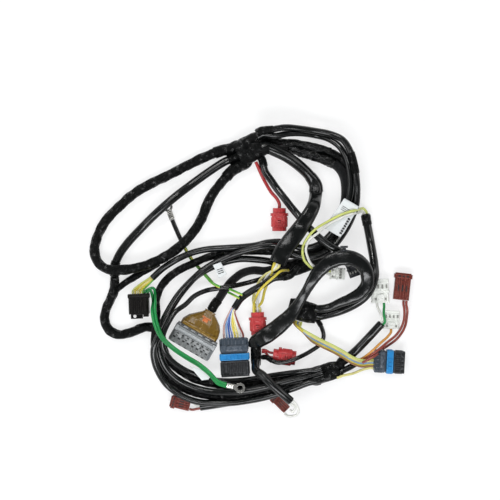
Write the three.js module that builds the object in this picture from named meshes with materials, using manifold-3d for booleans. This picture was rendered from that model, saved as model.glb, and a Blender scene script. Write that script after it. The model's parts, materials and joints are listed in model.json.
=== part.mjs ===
// A vehicle wiring harness, coiled and laid flat as it comes off the shelf.
//
// The harness is drawn on a laying board: plan positions are board millimetres, x to the right and
// y down, as a harness maker's board is marked out. Pieces are laid one after another, and each one
// comes to rest on what lies there already, so the heights are worked out and never written down.
// In the part's own frame Z is up, and the origin is the middle of the footprint on the table.
import * as THREE from "three";
import { mergeVertices } from "three/addons/utils/BufferGeometryUtils.js";
import Module from "manifold-3d";

const wasm = await Module();
wasm.setup();

// Laying board
const LAID_WIDTH = 323; // the harness as it lies
const LAID_DEPTH = 290.3;
const BOARD_WIDTH = 323; // the same, as drawn on the board
const BOARD_DEPTH = 290.3;
const BOARD_X = 251.6; // board point that becomes the origin
const BOARD_Y = 271;
const AIR = 0.42; // clearance between neighbouring pieces
const BUTT = 0.3; // clearance where a cord butts against a face
const SAMPLE = 2; // spacing of the points at which a laid cord is felt
const CORD_SIDES = 8;
const BOOT_L = 2.5; // wire seals
const LEAVE = 16; // length in which a cord may touch what it comes out of
const BEND = 6; // bend radius of a hump, in cord diameters
const SLOPE = 0.5; // steepest climb of a cord over another

// Cord diameters
const TRUNK_D = 10;
const INNER_SHEATH_D = 8.6;
const LEFT_LOOM_D = 9.6;
const FORK_D = 7;
const DIAGONAL_D = 7.6;
const LONG_SHEATH_D = 6.6;
const LOWER_SHEATH_D = 7;
const THIN_SHEATH_D = 5;
const BRAID_D = 10.5;
const TAPED_SHEATH_D = 8;
const BACKSHELL_BRAID_D = 8.6;
const UPPER_LOOM_D = 11.5;
const OPEN_SHEATH_D = 8.6;
const RISER_D = 8.6;
const UPPER_SHEATH_D = 8.6;
const CROSS_SHEATH_D = 6.2;
const SMALL_LOOP_D = 4.4;
const RING_LEAD_D = 3.5;
const WIRE_D = 3;
const THIN_WIRE_D = 2.6;
const FLAT_LOOM_W = 14; // tape wound flat
const FLAT_LOOM_H = 7.4;
const WIDE_SHEATH_W = 16;

// Blue-banded sealed connectors
const BAND_SHELL_H = 15.5;
const BAND_WALL = 1.3; // blue lock bar
const BAND_LENGTH = 6.6;
const CAVITY = 2.2; // terminal cavity, square
const CAVITY_DEPTH = 9;
const CAVITY_ROWS = 2;
const LARGE_CONNECTOR = { ways: 6, width: 28, shell: 16, cap: 14.5 };
const SMALL_CONNECTOR = { ways: 4, width: 22, shell: 11, cap: 11.5 };

// Control unit connector
const UNIT_L = 20; // in the mating direction
const UNIT_W = 45;
const UNIT_H = 17;
const UNIT_POCKET = 1.8;
const LEVER_W = 5;
const LEVER_H = 2.4;
const HOOD_L = 24;
const HOOD_W = 41;
const HOOD_NECK_D = 11.6;
const HOOD_MIDDLE = 9; // height of the cable neck

// Tape joints
const TOP_JOINT = { length: 20, width: 28, height: 17 };
const CENTRE_JOINT = { length: 20, width: 22, height: 15 };
const LOWER_JOINT = { length: 15, width: 11, height: 12 };
const RIGHT_JOINT = { length: 12, width: 19, height: 13 };
const BRANCH_JOINT = { length: 20, width: 18, height: 14 };
const JOINT_AIR = 2.9; // between the lower joint and the front connector
const LOWER_JOINT_MIDDLE = LOWER_JOINT.height / 2;
const CENTRE_JOINT_MIDDLE = CENTRE_JOINT.height / 2;

// Small connectors and terminals
const RELAY = { length: 20, width: 20, height: 17, tab: 2.2 };
const NYLON_HOUSING = { length: 24, width: 19, height: 11 };
const SEALED_HOUSING = { length: 23, width: 18, height: 13.5 };
const UPRIGHT_BLADE_HOUSING = { length: 27, width: 18, height: 10 };
const LOWER_BLADE_HOUSING = { length: 20, width: 11, height: 8.5 };
const LEFT_BLADE_HOUSING = { length: 20, width: 13, height: 9 };
const SHORT_NYLON_HOUSING = { length: 18, width: 18, height: 11 };
const SMALL_NYLON_HOUSING = { length: 15, width: 13, height: 9 };
const RING_D = 10;
const RING_HOLE_D = 5.3; // clears an M5 stud
const RING_T = 1.2;
const BARREL_D = 5.6;
const BARREL_L = 8;

// Faces of a laid piece
const FRONT = "front";
const BACK = "back";
const LEFT = "left";
const RIGHT = "right";

const rad = THREE.MathUtils.degToRad;

function finish(color, roughness, metalness = 0) {
  return new THREE.MeshStandardMaterial({ color, roughness, metalness });
}

const sheathBlack = finish(0x1b1d1d, 0.38);
const tapeBlack = finish(0x17181a, 0.55);
const braidBlack = finish(0x141516, 0.75);
const shellBlack = finish(0x202226, 0.5);
const capGrey = finish(0x3c4046, 0.5);
const lockBlue = finish(0x1b86cf, 0.4);
const unitGrey = finish(0x9a9c9b, 0.5);
const leverGrey = finish(0xb4b7b8, 0.45);
const hoodAmber = finish(0x8d6418, 0.3);
const maroon = finish(0x7c3128, 0.5);
const nylonWhite = finish(0xd9d9d2, 0.45);
const sealedRed = finish(0xb01e22, 0.4);
const tinned = finish(0xc8cacc, 0.3, 0.9);
const wireGreen = finish(0x128a3f, 0.4);
const wireYellow = finish(0xd9c43a, 0.4);
const wireLime = finish(0xb9c95a, 0.4);
const wireRed = finish(0xb4262a, 0.4);
const wireBrown = finish(0x8c3a2c, 0.4);
const wireWhite = finish(0xe4e4df, 0.4);

// Solids

// A closed three.js geometry as a solid that can be joined and cut.
function solid(geometry) {
  const bare = geometry.clone();
  bare.deleteAttribute("normal");
  bare.deleteAttribute("uv");
  const merged = mergeVertices(bare, 1e-4);
  return new wasm.Manifold(
    new wasm.Mesh({
      numProp: 3,
      vertProperties: merged.attributes.position.array,
      triVerts: new Uint32Array(merged.index.array),
    }),
  );
}

function geometryOf(manifold) {
  const mesh = manifold.getMesh();
  const geometry = new THREE.BufferGeometry();
  geometry.setAttribute("position", new THREE.BufferAttribute(mesh.vertProperties, 3));
  geometry.setIndex(new THREE.BufferAttribute(mesh.triVerts, 1));
  geometry.computeVertexNormals();
  return geometry;
}

const join = (pieces) => pieces.reduce((whole, piece) => whole.add(piece));
const cut = (whole, tools) => tools.reduce((rest, tool) => rest.subtract(tool), whole);

function block(x0, x1, y0, y1, z0, z1) {
  const box = new THREE.BoxGeometry(x1 - x0, y1 - y0, z1 - z0);
  box.translate((x0 + x1) / 2, (y0 + y1) / 2, (z0 + z1) / 2);
  return solid(box);
}

// A square bar along X, its middle at (y, z).
const squareBar = (x0, x1, y, z, side) =>
  block(x0, x1, y - side / 2, y + side / 2, z - side / 2, z + side / 2);

// A rectangle with cut corners, centred on the origin.
function chamferedOutline(width, height, corner) {
  const w = width / 2;
  const h = height / 2;
  return new THREE.Shape([
    new THREE.Vector2(-w + corner, -h),
    new THREE.Vector2(w - corner, -h),
    new THREE.Vector2(w, -h + corner),
    new THREE.Vector2(w, h - corner),
    new THREE.Vector2(w - corner, h),
    new THREE.Vector2(-w + corner, h),
    new THREE.Vector2(-w, h - corner),
    new THREE.Vector2(-w, -h + corner),
  ]);
}

// A housing run along X from x0 to x1, its section y by z with cut corners, standing on z = bottom.
function housing(x0, x1, width, height, corner, bottom = 0) {
  const bar = new THREE.ExtrudeGeometry(chamferedOutline(width, height, corner), {
    depth: x1 - x0,
    bevelEnabled: false,
  });
  bar.rotateY(Math.PI / 2).rotateX(Math.PI / 2);
  bar.translate(x0, 0, bottom + height / 2);
  return solid(bar);
}

// A round bar along X.
function roundBar(x0, x1, diameter, y, z, sides = 16) {
  const bar = new THREE.CylinderGeometry(diameter / 2, diameter / 2, x1 - x0, sides);
  bar.rotateZ(Math.PI / 2);
  bar.translate((x0 + x1) / 2, y, z);
  return solid(bar);
}

// Evenly spaced places, centred on zero.
function spread(count, pitch) {
  return Array.from({ length: count }, (_, i) => (i - (count - 1) / 2) * pitch);
}

// Laying

// A path through given stations, with its sections kept level so that a flat loom lies flat.
class LaidPath extends THREE.Curve {
  constructor(stations, startDirection, endDirection) {
    super();
    Object.assign(this, { stations, startDirection, endDirection });
  }
  getPoint(t) {
    const at = THREE.MathUtils.clamp(t, 0, 1) * (this.stations.length - 1);
    const i = Math.min(Math.floor(at), this.stations.length - 2);
    return this.stations[i].clone().lerp(this.stations[i + 1], at - i);
  }
  getPointAt(u) {
    return this.getPoint(u);
  }
  getTangentAt(u) {
    return this.getTangent(u);
  }
  computeFrenetFrames(segments) {
    const frames = { tangents: [], normals: [], binormals: [] };
    for (let i = 0; i <= segments; i++) {
      const along = this.getTangentAt(i / segments);
      if (i === 0) along.copy(this.startDirection ?? along.setZ(0).normalize());
      if (i === segments) along.copy(this.endDirection ?? along.setZ(0).normalize());
      const across = new THREE.Vector3(-along.y, along.x, 0).normalize();
      frames.tangents.push(along);
      frames.binormals.push(across);
      frames.normals.push(across.clone().cross(along));
    }
    return frames;
  }
}

const STRETCH_X = LAID_WIDTH / BOARD_WIDTH;
const STRETCH_Y = LAID_DEPTH / BOARD_DEPTH;
const onTable = ([x, y]) => new THREE.Vector2((x - BOARD_X) * STRETCH_X, (BOARD_Y - y) * STRETCH_Y);
const onBoard = (x, y) => [x / STRETCH_X + BOARD_X, BOARD_Y - y / STRETCH_Y];

const laidPoints = []; // what has been laid: {x, y, z, radius, owner}
const laidBlocks = new Map(); // name: {x, y, cos, sin, box, bottom, top}
const laidPaths = new Map(); // name: stations

function planDistance(place, x, y) {
  const dx = x - place.x;
  const dy = y - place.y;
  const along = dx * place.cos + dy * place.sin;
  const across = dy * place.cos - dx * place.sin;
  const [x0, x1, y0, y1] = place.box;
  return Math.hypot(Math.max(x0 - along, 0, along - x1), Math.max(y0 - across, 0, across - y1));
}

// The height at which a ball comes to rest at this place.
function restingHeight(x, y, radius, touching) {
  let height = radius;
  for (const p of laidPoints) {
    const reach = radius + p.radius + AIR;
    const d2 = (x - p.x) ** 2 + (y - p.y) ** 2;
    if (d2 < reach * reach && !touching.includes(p.owner)) {
      height = Math.max(height, p.z + Math.sqrt(reach * reach - d2));
    }
  }
  for (const [name, place] of laidBlocks) {
    const d = planDistance(place, x, y);
    const reach = radius + AIR;
    if (d < reach && !touching.includes(name)) {
      height = Math.max(height, place.top + Math.sqrt(reach * reach - d * d));
    }
  }
  return height;
}

// Sets down a piece that covers the box [x0, x1, y0, y1] of its own frame, and gives its group.
function setDown(name, { at, turn, box, height }) {
  const { x, y } = onTable(at);
  const place = { x, y, cos: Math.cos(rad(turn)), sin: Math.sin(rad(turn)), box };
  place.bottom = 0;
  for (const p of laidPoints) {
    const d = planDistance(place, p.x, p.y);
    if (d < p.radius + AIR) {
      const top = p.z + Math.sqrt((p.radius + AIR) ** 2 - d * d);
      place.bottom = Math.max(place.bottom, top);
    }
  }
  place.top = place.bottom + height;
  laidBlocks.set(name, place);
  const group = new THREE.Group();
  group.position.set(x, y, place.bottom);
  group.rotation.z = rad(turn);
  return group;
}

// The end of a cord that leaves a face at (x, y) on the table, square to it.
function ending(x, y, direction, height, touching) {
  const at = (d) => onBoard(x + direction.x * d, y + direction.y * d);
  return { point: at(BUTT), leadOut: (length) => at(BUTT + length), direction, height, touching };
}

// Where a cord leaves a piece, along its X axis and across it: each a distance or one of its faces.
function port(name, along, aside, height) {
  const place = laidBlocks.get(name);
  const [x0, x1, y0, y1] = place.box;
  const x = { [FRONT]: x1, [BACK]: x0 }[along] ?? along;
  const y = { [LEFT]: y1, [RIGHT]: y0 }[aside] ?? aside;
  const face = rad({ [LEFT]: 90, [RIGHT]: -90 }[aside] ?? (along === FRONT ? 0 : 180));
  const [fx, fy] = [Math.cos(face), Math.sin(face)];
  const direction = new THREE.Vector3(fx * place.cos - fy * place.sin, fx * place.sin + fy * place.cos, 0);
  const px = place.x + x * place.cos - y * place.sin;
  const py = place.y + x * place.sin + y * place.cos;
  return ending(px, py, direction, height === undefined ? undefined : place.bottom + height, name);
}

// Where a cord comes out of the open end of another, `aside` millimetres off its middle.
function mouth(name, which, aside = 0, lift = 0) {
  const path = laidPaths.get(name);
  const [end, before] = which === "end" ? [path.at(-1), path.at(-2)] : [path[0], path[1]];
  const out = new THREE.Vector3(end.x - before.x, end.y - before.y, 0).normalize();
  return ending(end.x - out.y * aside, end.y + out.x * aside, out, end.z + lift, name);
}

// How far a cord sinks at this distance from what lifts it.
function fall(distance, bendRadius) {
  const turn = SLOPE * bendRadius;
  if (distance < turn) return (distance * distance) / (2 * bendRadius);
  return SLOPE * distance - (SLOPE * turn) / 2;
}

// Lays a cord along plan points, over whatever is there, and gives the stations of its middle.
function lay(name, { plan, height, strands = [0], from, to, pitch, siblings = [] }) {
  const radius = height / 2;
  const lead = 0.8 * height + 1;
  const points = [
    ...(from ? [from.point, from.leadOut(lead)] : []),
    ...plan,
    ...(to ? [to.leadOut(lead), to.point] : []),
  ].map(onTable);
  const curve = new THREE.CatmullRomCurve3(points.map((p) => new THREE.Vector3(p.x, p.y, 0)));
  const length = curve.getLength();
  const steps = Math.max(2, Math.round(length / pitch));
  const stations = curve.getSpacedPoints(steps);
  const fine = [];
  stations.slice(0, -1).forEach((start, i) => {
    const end = stations[i + 1];
    const span = start.distanceTo(end);
    const count = Math.ceil(span / SAMPLE);
    const side = new THREE.Vector2(start.y - end.y, end.x - start.x).divideScalar(span);
    for (let k = 0; k < count + (i === steps - 1 ? 1 : 0); k++) {
      const f = k / count;
      const p = start.clone().lerp(end, f);
      fine.push({ p, side, i, f, s: (length * (i + f)) / steps });
    }
  });
  for (const q of fine) {
    const touching = [];
    if (from && q.s < LEAVE) touching.push(from.touching, ...siblings);
    if (to && q.s > length - LEAVE) touching.push(to.touching, ...siblings);
    q.need = Math.max(
      ...strands.map((o) => restingHeight(q.p.x + o * q.side.x, q.p.y + o * q.side.y, radius, touching)),
    );
  }
  const bendRadius = BEND * height;
  const pins = [];
  if (from?.height !== undefined) pins.push({ s: 0, need: from.height });
  if (to?.height !== undefined) pins.push({ s: length, need: to.height });
  const supports = [...fine, ...pins];
  const heightAt = (s) => Math.max(...supports.map((q) => q.need - fall(Math.abs(s - q.s), bendRadius)));
  const heights = stations.map((_, i) => heightAt((length * i) / steps));
  for (let pass = 0; pass < 8; pass++) {
    for (const q of fine) {
      const short = q.need - (heights[q.i] * (1 - q.f) + (heights[q.i + 1] ?? 0) * q.f);
      if (short > 0) {
        heights[q.i] += short * (q.f < 0.8 ? 1 : 0.5);
        if (q.f > 0.2) heights[q.i + 1] += short;
      }
    }
  }
  if (from?.height !== undefined) heights[0] = from.height;
  if (to?.height !== undefined) heights[steps] = to.height;
  stations.forEach((p, i) => (p.z = heights[i]));
  for (const q of fine) {
    const z = heights[q.i] * (1 - q.f) + (heights[q.i + 1] ?? 0) * q.f;
    for (const o of strands) {
      laidPoints.push({ x: q.p.x + o * q.side.x, y: q.p.y + o * q.side.y, z, radius, owner: name });
    }
  }
  laidPaths.set(name, stations);
  return stations;
}

// A cord's section: a circle, or two half circles and the flats between them.
function section(width, height, sides) {
  const flat = (width - height) / 2;
  const points = [];
  for (let i = 0; i < sides; i++) {
    const angle = (2 * Math.PI * (i + 0.5)) / sides;
    const across = (height / 2) * Math.cos(angle);
    points.push(new THREE.Vector2((height / 2) * Math.sin(angle), across + Math.sign(across) * flat));
  }
  return new THREE.Shape(points);
}

function tube(stations, width, height, sides, { from, to } = {}) {
  return new THREE.ExtrudeGeometry(section(width, height, sides), {
    steps: stations.length - 1,
    extrudePath: new LaidPath(stations, from?.direction, to?.direction.clone().negate()),
    bevelEnabled: false,
  });
}

const harness = new THREE.Group();

function add(name, geometry, material, parent = harness) {
  const mesh = new THREE.Mesh(geometry, material);
  mesh.name = name;
  parent.add(mesh);
  return mesh;
}

// A round cord, or a flat one where a width is given.
function cordSolid(name, { diameter, width = diameter, ...route }) {
  const half = (width - diameter) / 2;
  const strands = half > 0.4 * diameter ? [-half, 0, half] : half > 0 ? [-half, half] : [0];
  const pitch = THREE.MathUtils.clamp(2.4 * diameter, 9, 15);
  const stations = lay(name, { height: diameter, strands, pitch, ...route });
  return solid(tube(stations, width, diameter, CORD_SIDES, route));
}

function cord(name, material, route) {
  add(name, geometryOf(cordSolid(name, route)), material);
}

// A short wire seal from a face or a mouth outwards, which holds the wires of a fan together.
function boot(end, width, height, length = BOOT_L) {
  const ends = [end.point, end.leadOut(length)];
  const stations = ends.map((at) => new THREE.Vector3(...onTable(at), end.height));
  const radius = Math.max(height, width) / 2;
  stations.forEach(({ x, y, z }) => laidPoints.push({ x, y, z, radius, owner: end.touching }));
  return solid(tube(stations, width, height, CORD_SIDES, { from: end }));
}

const portBoot = (name, x, y, height, width, thickness) => boot(port(name, x, y, height), width, thickness);
const mouthBoot = (name, which, diameter) => boot(mouth(name, which), diameter, diameter);

// Several wires that leave one mouth together, as one solid.
function fan(name, material, boots, routes) {
  const siblings = routes.map((_, i) => `${name}_${i}`);
  const wires = routes.map((route, i) => cordSolid(siblings[i], { plan: [], ...route, siblings }));
  add(name, geometryOf(join([...boots, ...wires])), material);
}

// Tape joints: a bundle bound round with tape, tapering a little to its ends.
function tapeJoint(name, { at, turn }, { length, width, height }) {
  const half = length / 2;
  const group = setDown(name, { at, turn, box: [-half, half, -width / 2, width / 2], height });
  const profile = [
    [0, -half],
    [0.44, -half],
    [0.5, -0.55 * half],
    [0.5, 0.55 * half],
    [0.44, half],
    [0, half],
  ].map(([r, z]) => new THREE.Vector2(r, z));
  const body = new THREE.LatheGeometry(profile, 14);
  body.rotateZ(-Math.PI / 2);
  body.scale(1, width, height).translate(0, 0, height / 2);
  add(name, body, tapeBlack, group);
  harness.add(group);
}

// Sealed connector with a blue lock bar. Its wires enter at X = 0 and it mates towards +X.
function bandedConnector(name, { at, turn }, size) {
  const { ways, width, shell, cap } = size;
  const bandStart = cap + AIR;
  const bandEnd = bandStart + BAND_LENGTH;
  const shellEnd = bandEnd + AIR + shell;
  const outer = { width: width + 1.2, height: BAND_SHELL_H + 1 };
  const neckWidth = outer.width - 2 * (BAND_WALL + AIR);
  const neckHeight = outer.height - BAND_WALL - AIR;
  const group = setDown(name, {
    at,
    turn,
    box: [0, shellEnd, -outer.width / 2, outer.width / 2],
    height: outer.height,
  });
  const pitch = (width - 6) / ways;
  const rowPitch = (BAND_SHELL_H - 3.5) / CAVITY_ROWS;
  const grid = spread(ways, pitch).flatMap((y) => spread(CAVITY_ROWS, rowPitch).map((z) => [y, z]));
  const middle = BAND_SHELL_H / 2;

  const cavities = grid.map(([y, z]) =>
    squareBar(shellEnd - CAVITY_DEPTH, shellEnd + 1, y, middle + z, CAVITY),
  );
  const grooves = spread(ways + 1, pitch).map((y) =>
    block(bandEnd + AIR + 2, shellEnd - 2, y - 0.6, y + 0.6, BAND_SHELL_H - 0.7, BAND_SHELL_H + 1),
  );
  const body = join([
    housing(bandEnd + AIR, shellEnd, width, BAND_SHELL_H, 1.2),
    block(cap + AIR, bandEnd + AIR + 0.5, -neckWidth / 2, neckWidth / 2, 0, neckHeight),
  ]);
  add(`${name}_shell`, geometryOf(cut(body, [...cavities, ...grooves])), shellBlack, group);

  const bar = cut(housing(bandStart, bandEnd, outer.width, outer.height, 1.4), [
    block(bandStart - 1, bandEnd + 1, -neckWidth / 2 - AIR, neckWidth / 2 + AIR, -1, neckHeight + AIR),
  ]);
  const grips = spread(ways - 1, pitch).map((y) =>
    block(bandStart + 1.4, bandEnd - 1.4, y - 0.5, y + 0.5, outer.height - 0.6, outer.height + 1),
  );
  add(`${name}_lock`, geometryOf(cut(bar, grips)), lockBlue, group);

  const wireHoles = grid.map(([y, z]) => roundBar(-1, 4, 2.4, y, middle + z, 6));
  const steps = join([
    housing(0, cap, width - 1.6, BAND_SHELL_H - 0.8, 1.2),
    housing(cap * 0.45, cap - 1.2, width, BAND_SHELL_H, 1.2),
  ]);
  add(`${name}_cap`, geometryOf(cut(steps, wireHoles)), capGrey, group);
  harness.add(group);
}

// Control unit connector: mates towards +X, its cable leaves the amber hood at -X.
function unitConnector({ at, turn }) {
  const half = UNIT_L / 2;
  const hoodEnd = -half - AIR - HOOD_L;
  const group = setDown("unit_connector", {
    at,
    turn,
    box: [-half, half, -UNIT_W / 2, UNIT_W / 2],
    height: UNIT_H + LEVER_H,
  });
  const standing = laidBlocks.get("unit_connector");
  const waist = -half - AIR - HOOD_L * 0.55;
  laidBlocks.set("unit_hood", { ...standing, box: [waist, -half, -HOOD_W / 2, HOOD_W / 2] });
  laidBlocks.set("unit_neck", { ...standing, box: [hoodEnd, waist, -HOOD_W / 4, HOOD_W / 3.4] });
  const pocketPitch = 5.2;
  const pocketRows = spread(8, pocketPitch).flatMap((y) => [
    [half - 3.2, y],
    [half - 8, y + pocketPitch / 3],
  ]);
  const pockets = pocketRows.map(([x, y]) => {
    const half = UNIT_POCKET / 2;
    return block(x - half, x + half, y - half, y + half, UNIT_H - 2, UNIT_H + 1);
  });
  const leverX = -half + 3;
  const leverEnd = leverX + LEVER_W;
  const slotFloor = UNIT_H - LEVER_H + 1;
  const side = UNIT_W / 2;
  const leverSlot = block(leverX - AIR, leverEnd + AIR, -side - 1, side + 1, slotFloor, UNIT_H + 1);
  const faceCavities = spread(9, 4.4).flatMap((y) =>
    spread(2, 5.2).map((z) => squareBar(half - 5, half + 1, y, UNIT_H / 2 + z, 2)),
  );
  const body = join([
    housing(-half, half, UNIT_W, UNIT_H, 2.4),
    block(-half + 9.5, -half + 11, -UNIT_W / 2 + 2, UNIT_W / 2 - 2, UNIT_H - 1, UNIT_H + 0.8),
  ]);
  const moulded = cut(body, [leverSlot, ...pockets, ...faceCavities]);
  add("unit_connector_body", geometryOf(moulded), unitGrey, group);

  const lever = join([
    block(leverX, leverEnd, -UNIT_W / 2 + 1, UNIT_W / 2 - 1, slotFloor + AIR, UNIT_H + 0.6),
    block(leverX + 1.4, leverEnd - 1.4, -UNIT_W / 2 + 3, UNIT_W / 2 - 3, UNIT_H, UNIT_H + LEVER_H),
  ]);
  add("unit_connector_lever", geometryOf(lever), leverGrey, group);

  // The hood's sections from the housing to the cable neck: distance, width, height and side shift.
  const sections = [
    [0, HOOD_W, UNIT_H - 0.6, 0],
    [5, HOOD_W, UNIT_H + 0.6, 0],
    [11, 0.88 * HOOD_W, UNIT_H - 0.4, 1],
    [16, 0.66 * HOOD_W, 14.5, 2],
    [20, 0.42 * HOOD_W, 12.6, 1.5],
    [HOOD_L - 1.6, HOOD_NECK_D, HOOD_NECK_D, 0.5],
    [HOOD_L, HOOD_NECK_D + 0.6, HOOD_NECK_D + 0.6, 0.5],
  ];
  add("unit_connector_hood", loft(sections, -half - AIR, HOOD_MIDDLE), hoodAmber, group);
  harness.add(group);
}

// A shell through round-cornered sections, run towards -X from start with its middle at this height.
function loft(sections, start, middle) {
  const sides = 16;
  const position = [];
  sections.forEach(([along, width, height, shift]) => {
    for (let i = 0; i < sides; i++) {
      const angle = (2 * Math.PI * (i + 0.5)) / sides;
      const square = (v) => Math.sign(v) * Math.abs(v) ** 0.6;
      position.push(
        start - along,
        shift + (width / 2) * square(Math.cos(angle)),
        middle + (height / 2) * square(Math.sin(angle)),
      );
    }
  });
  const last = sections.length - 1;
  const index = [];
  for (let k = 0; k < last; k++) {
    for (let i = 0; i < sides; i++) {
      const j = (i + 1) % sides;
      const [a, b, c, d] = [k * sides + i, k * sides + j, (k + 1) * sides + j, (k + 1) * sides + i];
      index.push(a, c, b, a, d, c);
    }
  }
  for (let i = 1; i < sides - 1; i++) {
    index.push(0, i, i + 1);
    index.push(last * sides, last * sides + i + 1, last * sides + i);
  }
  const shell = new THREE.BufferGeometry();
  shell.setAttribute("position", new THREE.Float32BufferAttribute(position, 3));
  shell.setIndex(index);
  return shell;
}

// Relay in its holder: wires enter at X = 0, the mounting tab points along +X.
function relayBox({ at, turn }) {
  const { length, width, height, tab } = RELAY;
  const group = setDown("relay", { at, turn, box: [0, length + 5, -width / 2, width / 2], height });
  const ribs = spread(4, width / 5).map((y) =>
    block(3, length - 3, y - 0.7, y + 0.7, height - 0.6, height + 0.7),
  );
  const body = join([
    housing(0, length, width, height, 1.6),
    housing(0, 4, width + 1.6, height - 2, 1.6),
    block(length - 1, length + 5, -width / 2 + 1, width / 2 - 7, 3, 3 + tab),
    block(length - 1, length + 3, width / 2 - 6, width / 2 - 1, 0, height - 5),
    ...ribs,
  ]);
  const tabHole = new THREE.CylinderGeometry(1.7, 1.7, 8, 12);
  tabHole.rotateX(Math.PI / 2).translate(length + 2.4, -width / 2 + 5, 4);
  const windows = spread(3, 5).map((y) => block(-1, 3, y - 1.6, y + 1.6, 5, 11));
  add("relay_holder", geometryOf(cut(body, [solid(tabHole), ...windows])), shellBlack, group);
  harness.add(group);
}

// Housing for blade terminals, wires at X = 0, mating towards +X.
function bladeHousing(name, pose, { length, width, height }) {
  const group = setDown(name, { ...pose, box: [0, length, -width / 2, width / 2], height });
  const slots = spread(3, width / 3.4).flatMap((y) => [
    block(length - 6, length + 1, y - 2.1, y + 2.1, height / 2 - 0.7, height / 2 + 0.7),
    block(-1, 3, y - 1.3, y + 1.3, height / 2 - 1.3, height / 2 + 1.3),
  ]);
  const ribs = spread(6, width / 7).map((y) => block(2, length - 5, y - 0.5, y + 0.5, height - 1.6, height));
  const body = join([
    housing(0, length, width - 2.4, height - 0.9, 0.9),
    housing(length - 5.4, length - 1.2, width, height - 0.5, 0.9),
    block(length - 9.4, length - 1.2, -2.6, 2.6, height - 2, height),
    ...ribs,
  ]);
  const latchWindow = block(length - 8.2, length - 6.2, -1.2, 1.2, height - 1.3, height + 1);
  add(name, geometryOf(cut(body, [...slots, latchWindow])), maroon, group);
  harness.add(group);
}

// Nylon housing with a latch, wires at X = 0, mating towards +X.
function nylonHousing(name, pose, size = NYLON_HOUSING, material = nylonWhite) {
  const { length, width, height } = size;
  const group = setDown(name, { ...pose, box: [0, length, -width / 2, width / 2], height });
  const cavityRows = spread(4, width / 4.6).flatMap((y) =>
    spread(2, height / 2.4).map((z) => squareBar(length - 7, length + 1, y, height / 2 + z, CAVITY)),
  );
  const windows = spread(3, width / 3.6).map((y) =>
    block(length * 0.62, length * 0.74, y - 1.5, y + 1.5, height - 1.4, height + 1),
  );
  const body = join([
    housing(0, length, width - 1.6, height - 1.2, 0.8),
    housing(length * 0.42, length * 0.5, width, height - 0.6, 0.8),
    block(0.5, length * 0.36, -width * 0.2, width * 0.2, height - 1.4, height),
    housing(0, 1.6, width - 0.4, height - 0.8, 0.8),
  ]);
  add(name, geometryOf(cut(body, [...cavityRows, ...windows])), material, group);
  harness.add(group);
}

// Oval sealed housing with a collar and a lock rib, wires at X = 0, mating towards +X.
function sealedHousing(name, pose, { length, width, height } = SEALED_HOUSING) {
  const group = setDown(name, { ...pose, box: [0, length, -width / 2, width / 2], height });
  const run = (x0, x1, w, h) => {
    const bar = new THREE.CylinderGeometry(0.5, 0.5, x1 - x0, 12);
    bar.rotateZ(Math.PI / 2).scale(1, w, h).translate((x0 + x1) / 2, 0, height / 2);
    return solid(bar);
  };
  const body = join([
    run(0, 6, width * 0.74, height * 0.8),
    run(5, 8, width, height),
    housing(7, length - 4, width * 0.84, height * 0.86, 2.2, height * 0.07),
    run(length - 5, length, width * 0.8, height * 0.82),
    block(6, length - 6, -3.2, 3.2, height - 2.6, height),
  ]);
  const pins = spread(3, 4.2).map((y) => roundBar(length - 5, length + 1, 2.2, y, height / 2, 6));
  const seals = spread(2, 5.4).map((y) => roundBar(-1, 3, 3.2, y, height / 2, 6));
  const lockWindow = block(length - 11, length - 8, -1.6, 1.6, height - 1.4, height + 1);
  add(name, geometryOf(cut(body, [...pins, ...seals, lockWindow])), sealedRed, group);
  harness.add(group);
}

// Ring terminal: wire barrel at X = 0, then the palm and the ring.
function ringTerminal(name, pose) {
  const ringX = BARREL_L + RING_D / 2 + 0.5;
  const group = setDown(name, {
    ...pose,
    box: [0, ringX + RING_D / 2, -RING_D / 2, RING_D / 2],
    height: BARREL_D,
  });
  const ring = new THREE.CylinderGeometry(RING_D / 2, RING_D / 2, RING_T, 20);
  ring.rotateX(Math.PI / 2).translate(ringX, 0, RING_T / 2);
  const hole = new THREE.CylinderGeometry(RING_HOLE_D / 2, RING_HOLE_D / 2, 3 * RING_T, 20);
  hole.rotateX(Math.PI / 2).translate(ringX, 0, RING_T / 2);
  const crimp = roundBar(0, BARREL_L - 1.4, BARREL_D, 0, BARREL_D / 2, 12);
  const wings = block(BARREL_L * 0.55, BARREL_L * 0.62, -1.2, 1.2, BARREL_D - 0.7, BARREL_D + 0.5);
  const palmWide = BARREL_D - 0.4;
  const palm = block(BARREL_L - 3, ringX - RING_D / 2 + 1.6, -palmWide / 2, palmWide / 2, 0, RING_T);
  const body = cut(join([solid(ring), crimp, palm]), [solid(hole), wings]);
  add(name, geometryOf(body), tinned, group);
  harness.add(group);
}

// The harness, piece by piece, from the table up

const flatPose = (x, y, turn) => ({ at: [x, y], turn });

// Connectors and joints that lie on the table
ringTerminal("ring_terminal_upper", flatPose(171.6, 219.2, 110));
relayBox(flatPose(138.5, 294, -88));
unitConnector(flatPose(193, 341, 240));
const frontPose = flatPose(233.6, 338.5, -87);
bandedConnector("front_connector", frontPose, LARGE_CONNECTOR);
bandedConnector("side_connector", flatPose(374.5, 361, -3), SMALL_CONNECTOR);
sealedHousing("red_connector_upper", flatPose(279.5, 208, -90));
sealedHousing("red_connector_middle", flatPose(257.5, 312.5, -88));
sealedHousing("red_connector_lower", flatPose(273, 355.5, -8));
bladeHousing("maroon_connector_right", flatPose(401.5, 300, 84), UPRIGHT_BLADE_HOUSING);
bladeHousing("maroon_connector_lower", flatPose(287, 410.5, 135), LOWER_BLADE_HOUSING);
bladeHousing("maroon_connector_left", flatPose(189.5, 406.5, 166), LEFT_BLADE_HOUSING);
nylonHousing("white_connector_upper", flatPose(381, 303, 92));
nylonHousing("white_connector_lower", flatPose(391.5, 329, 88), SHORT_NYLON_HOUSING);
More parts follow.
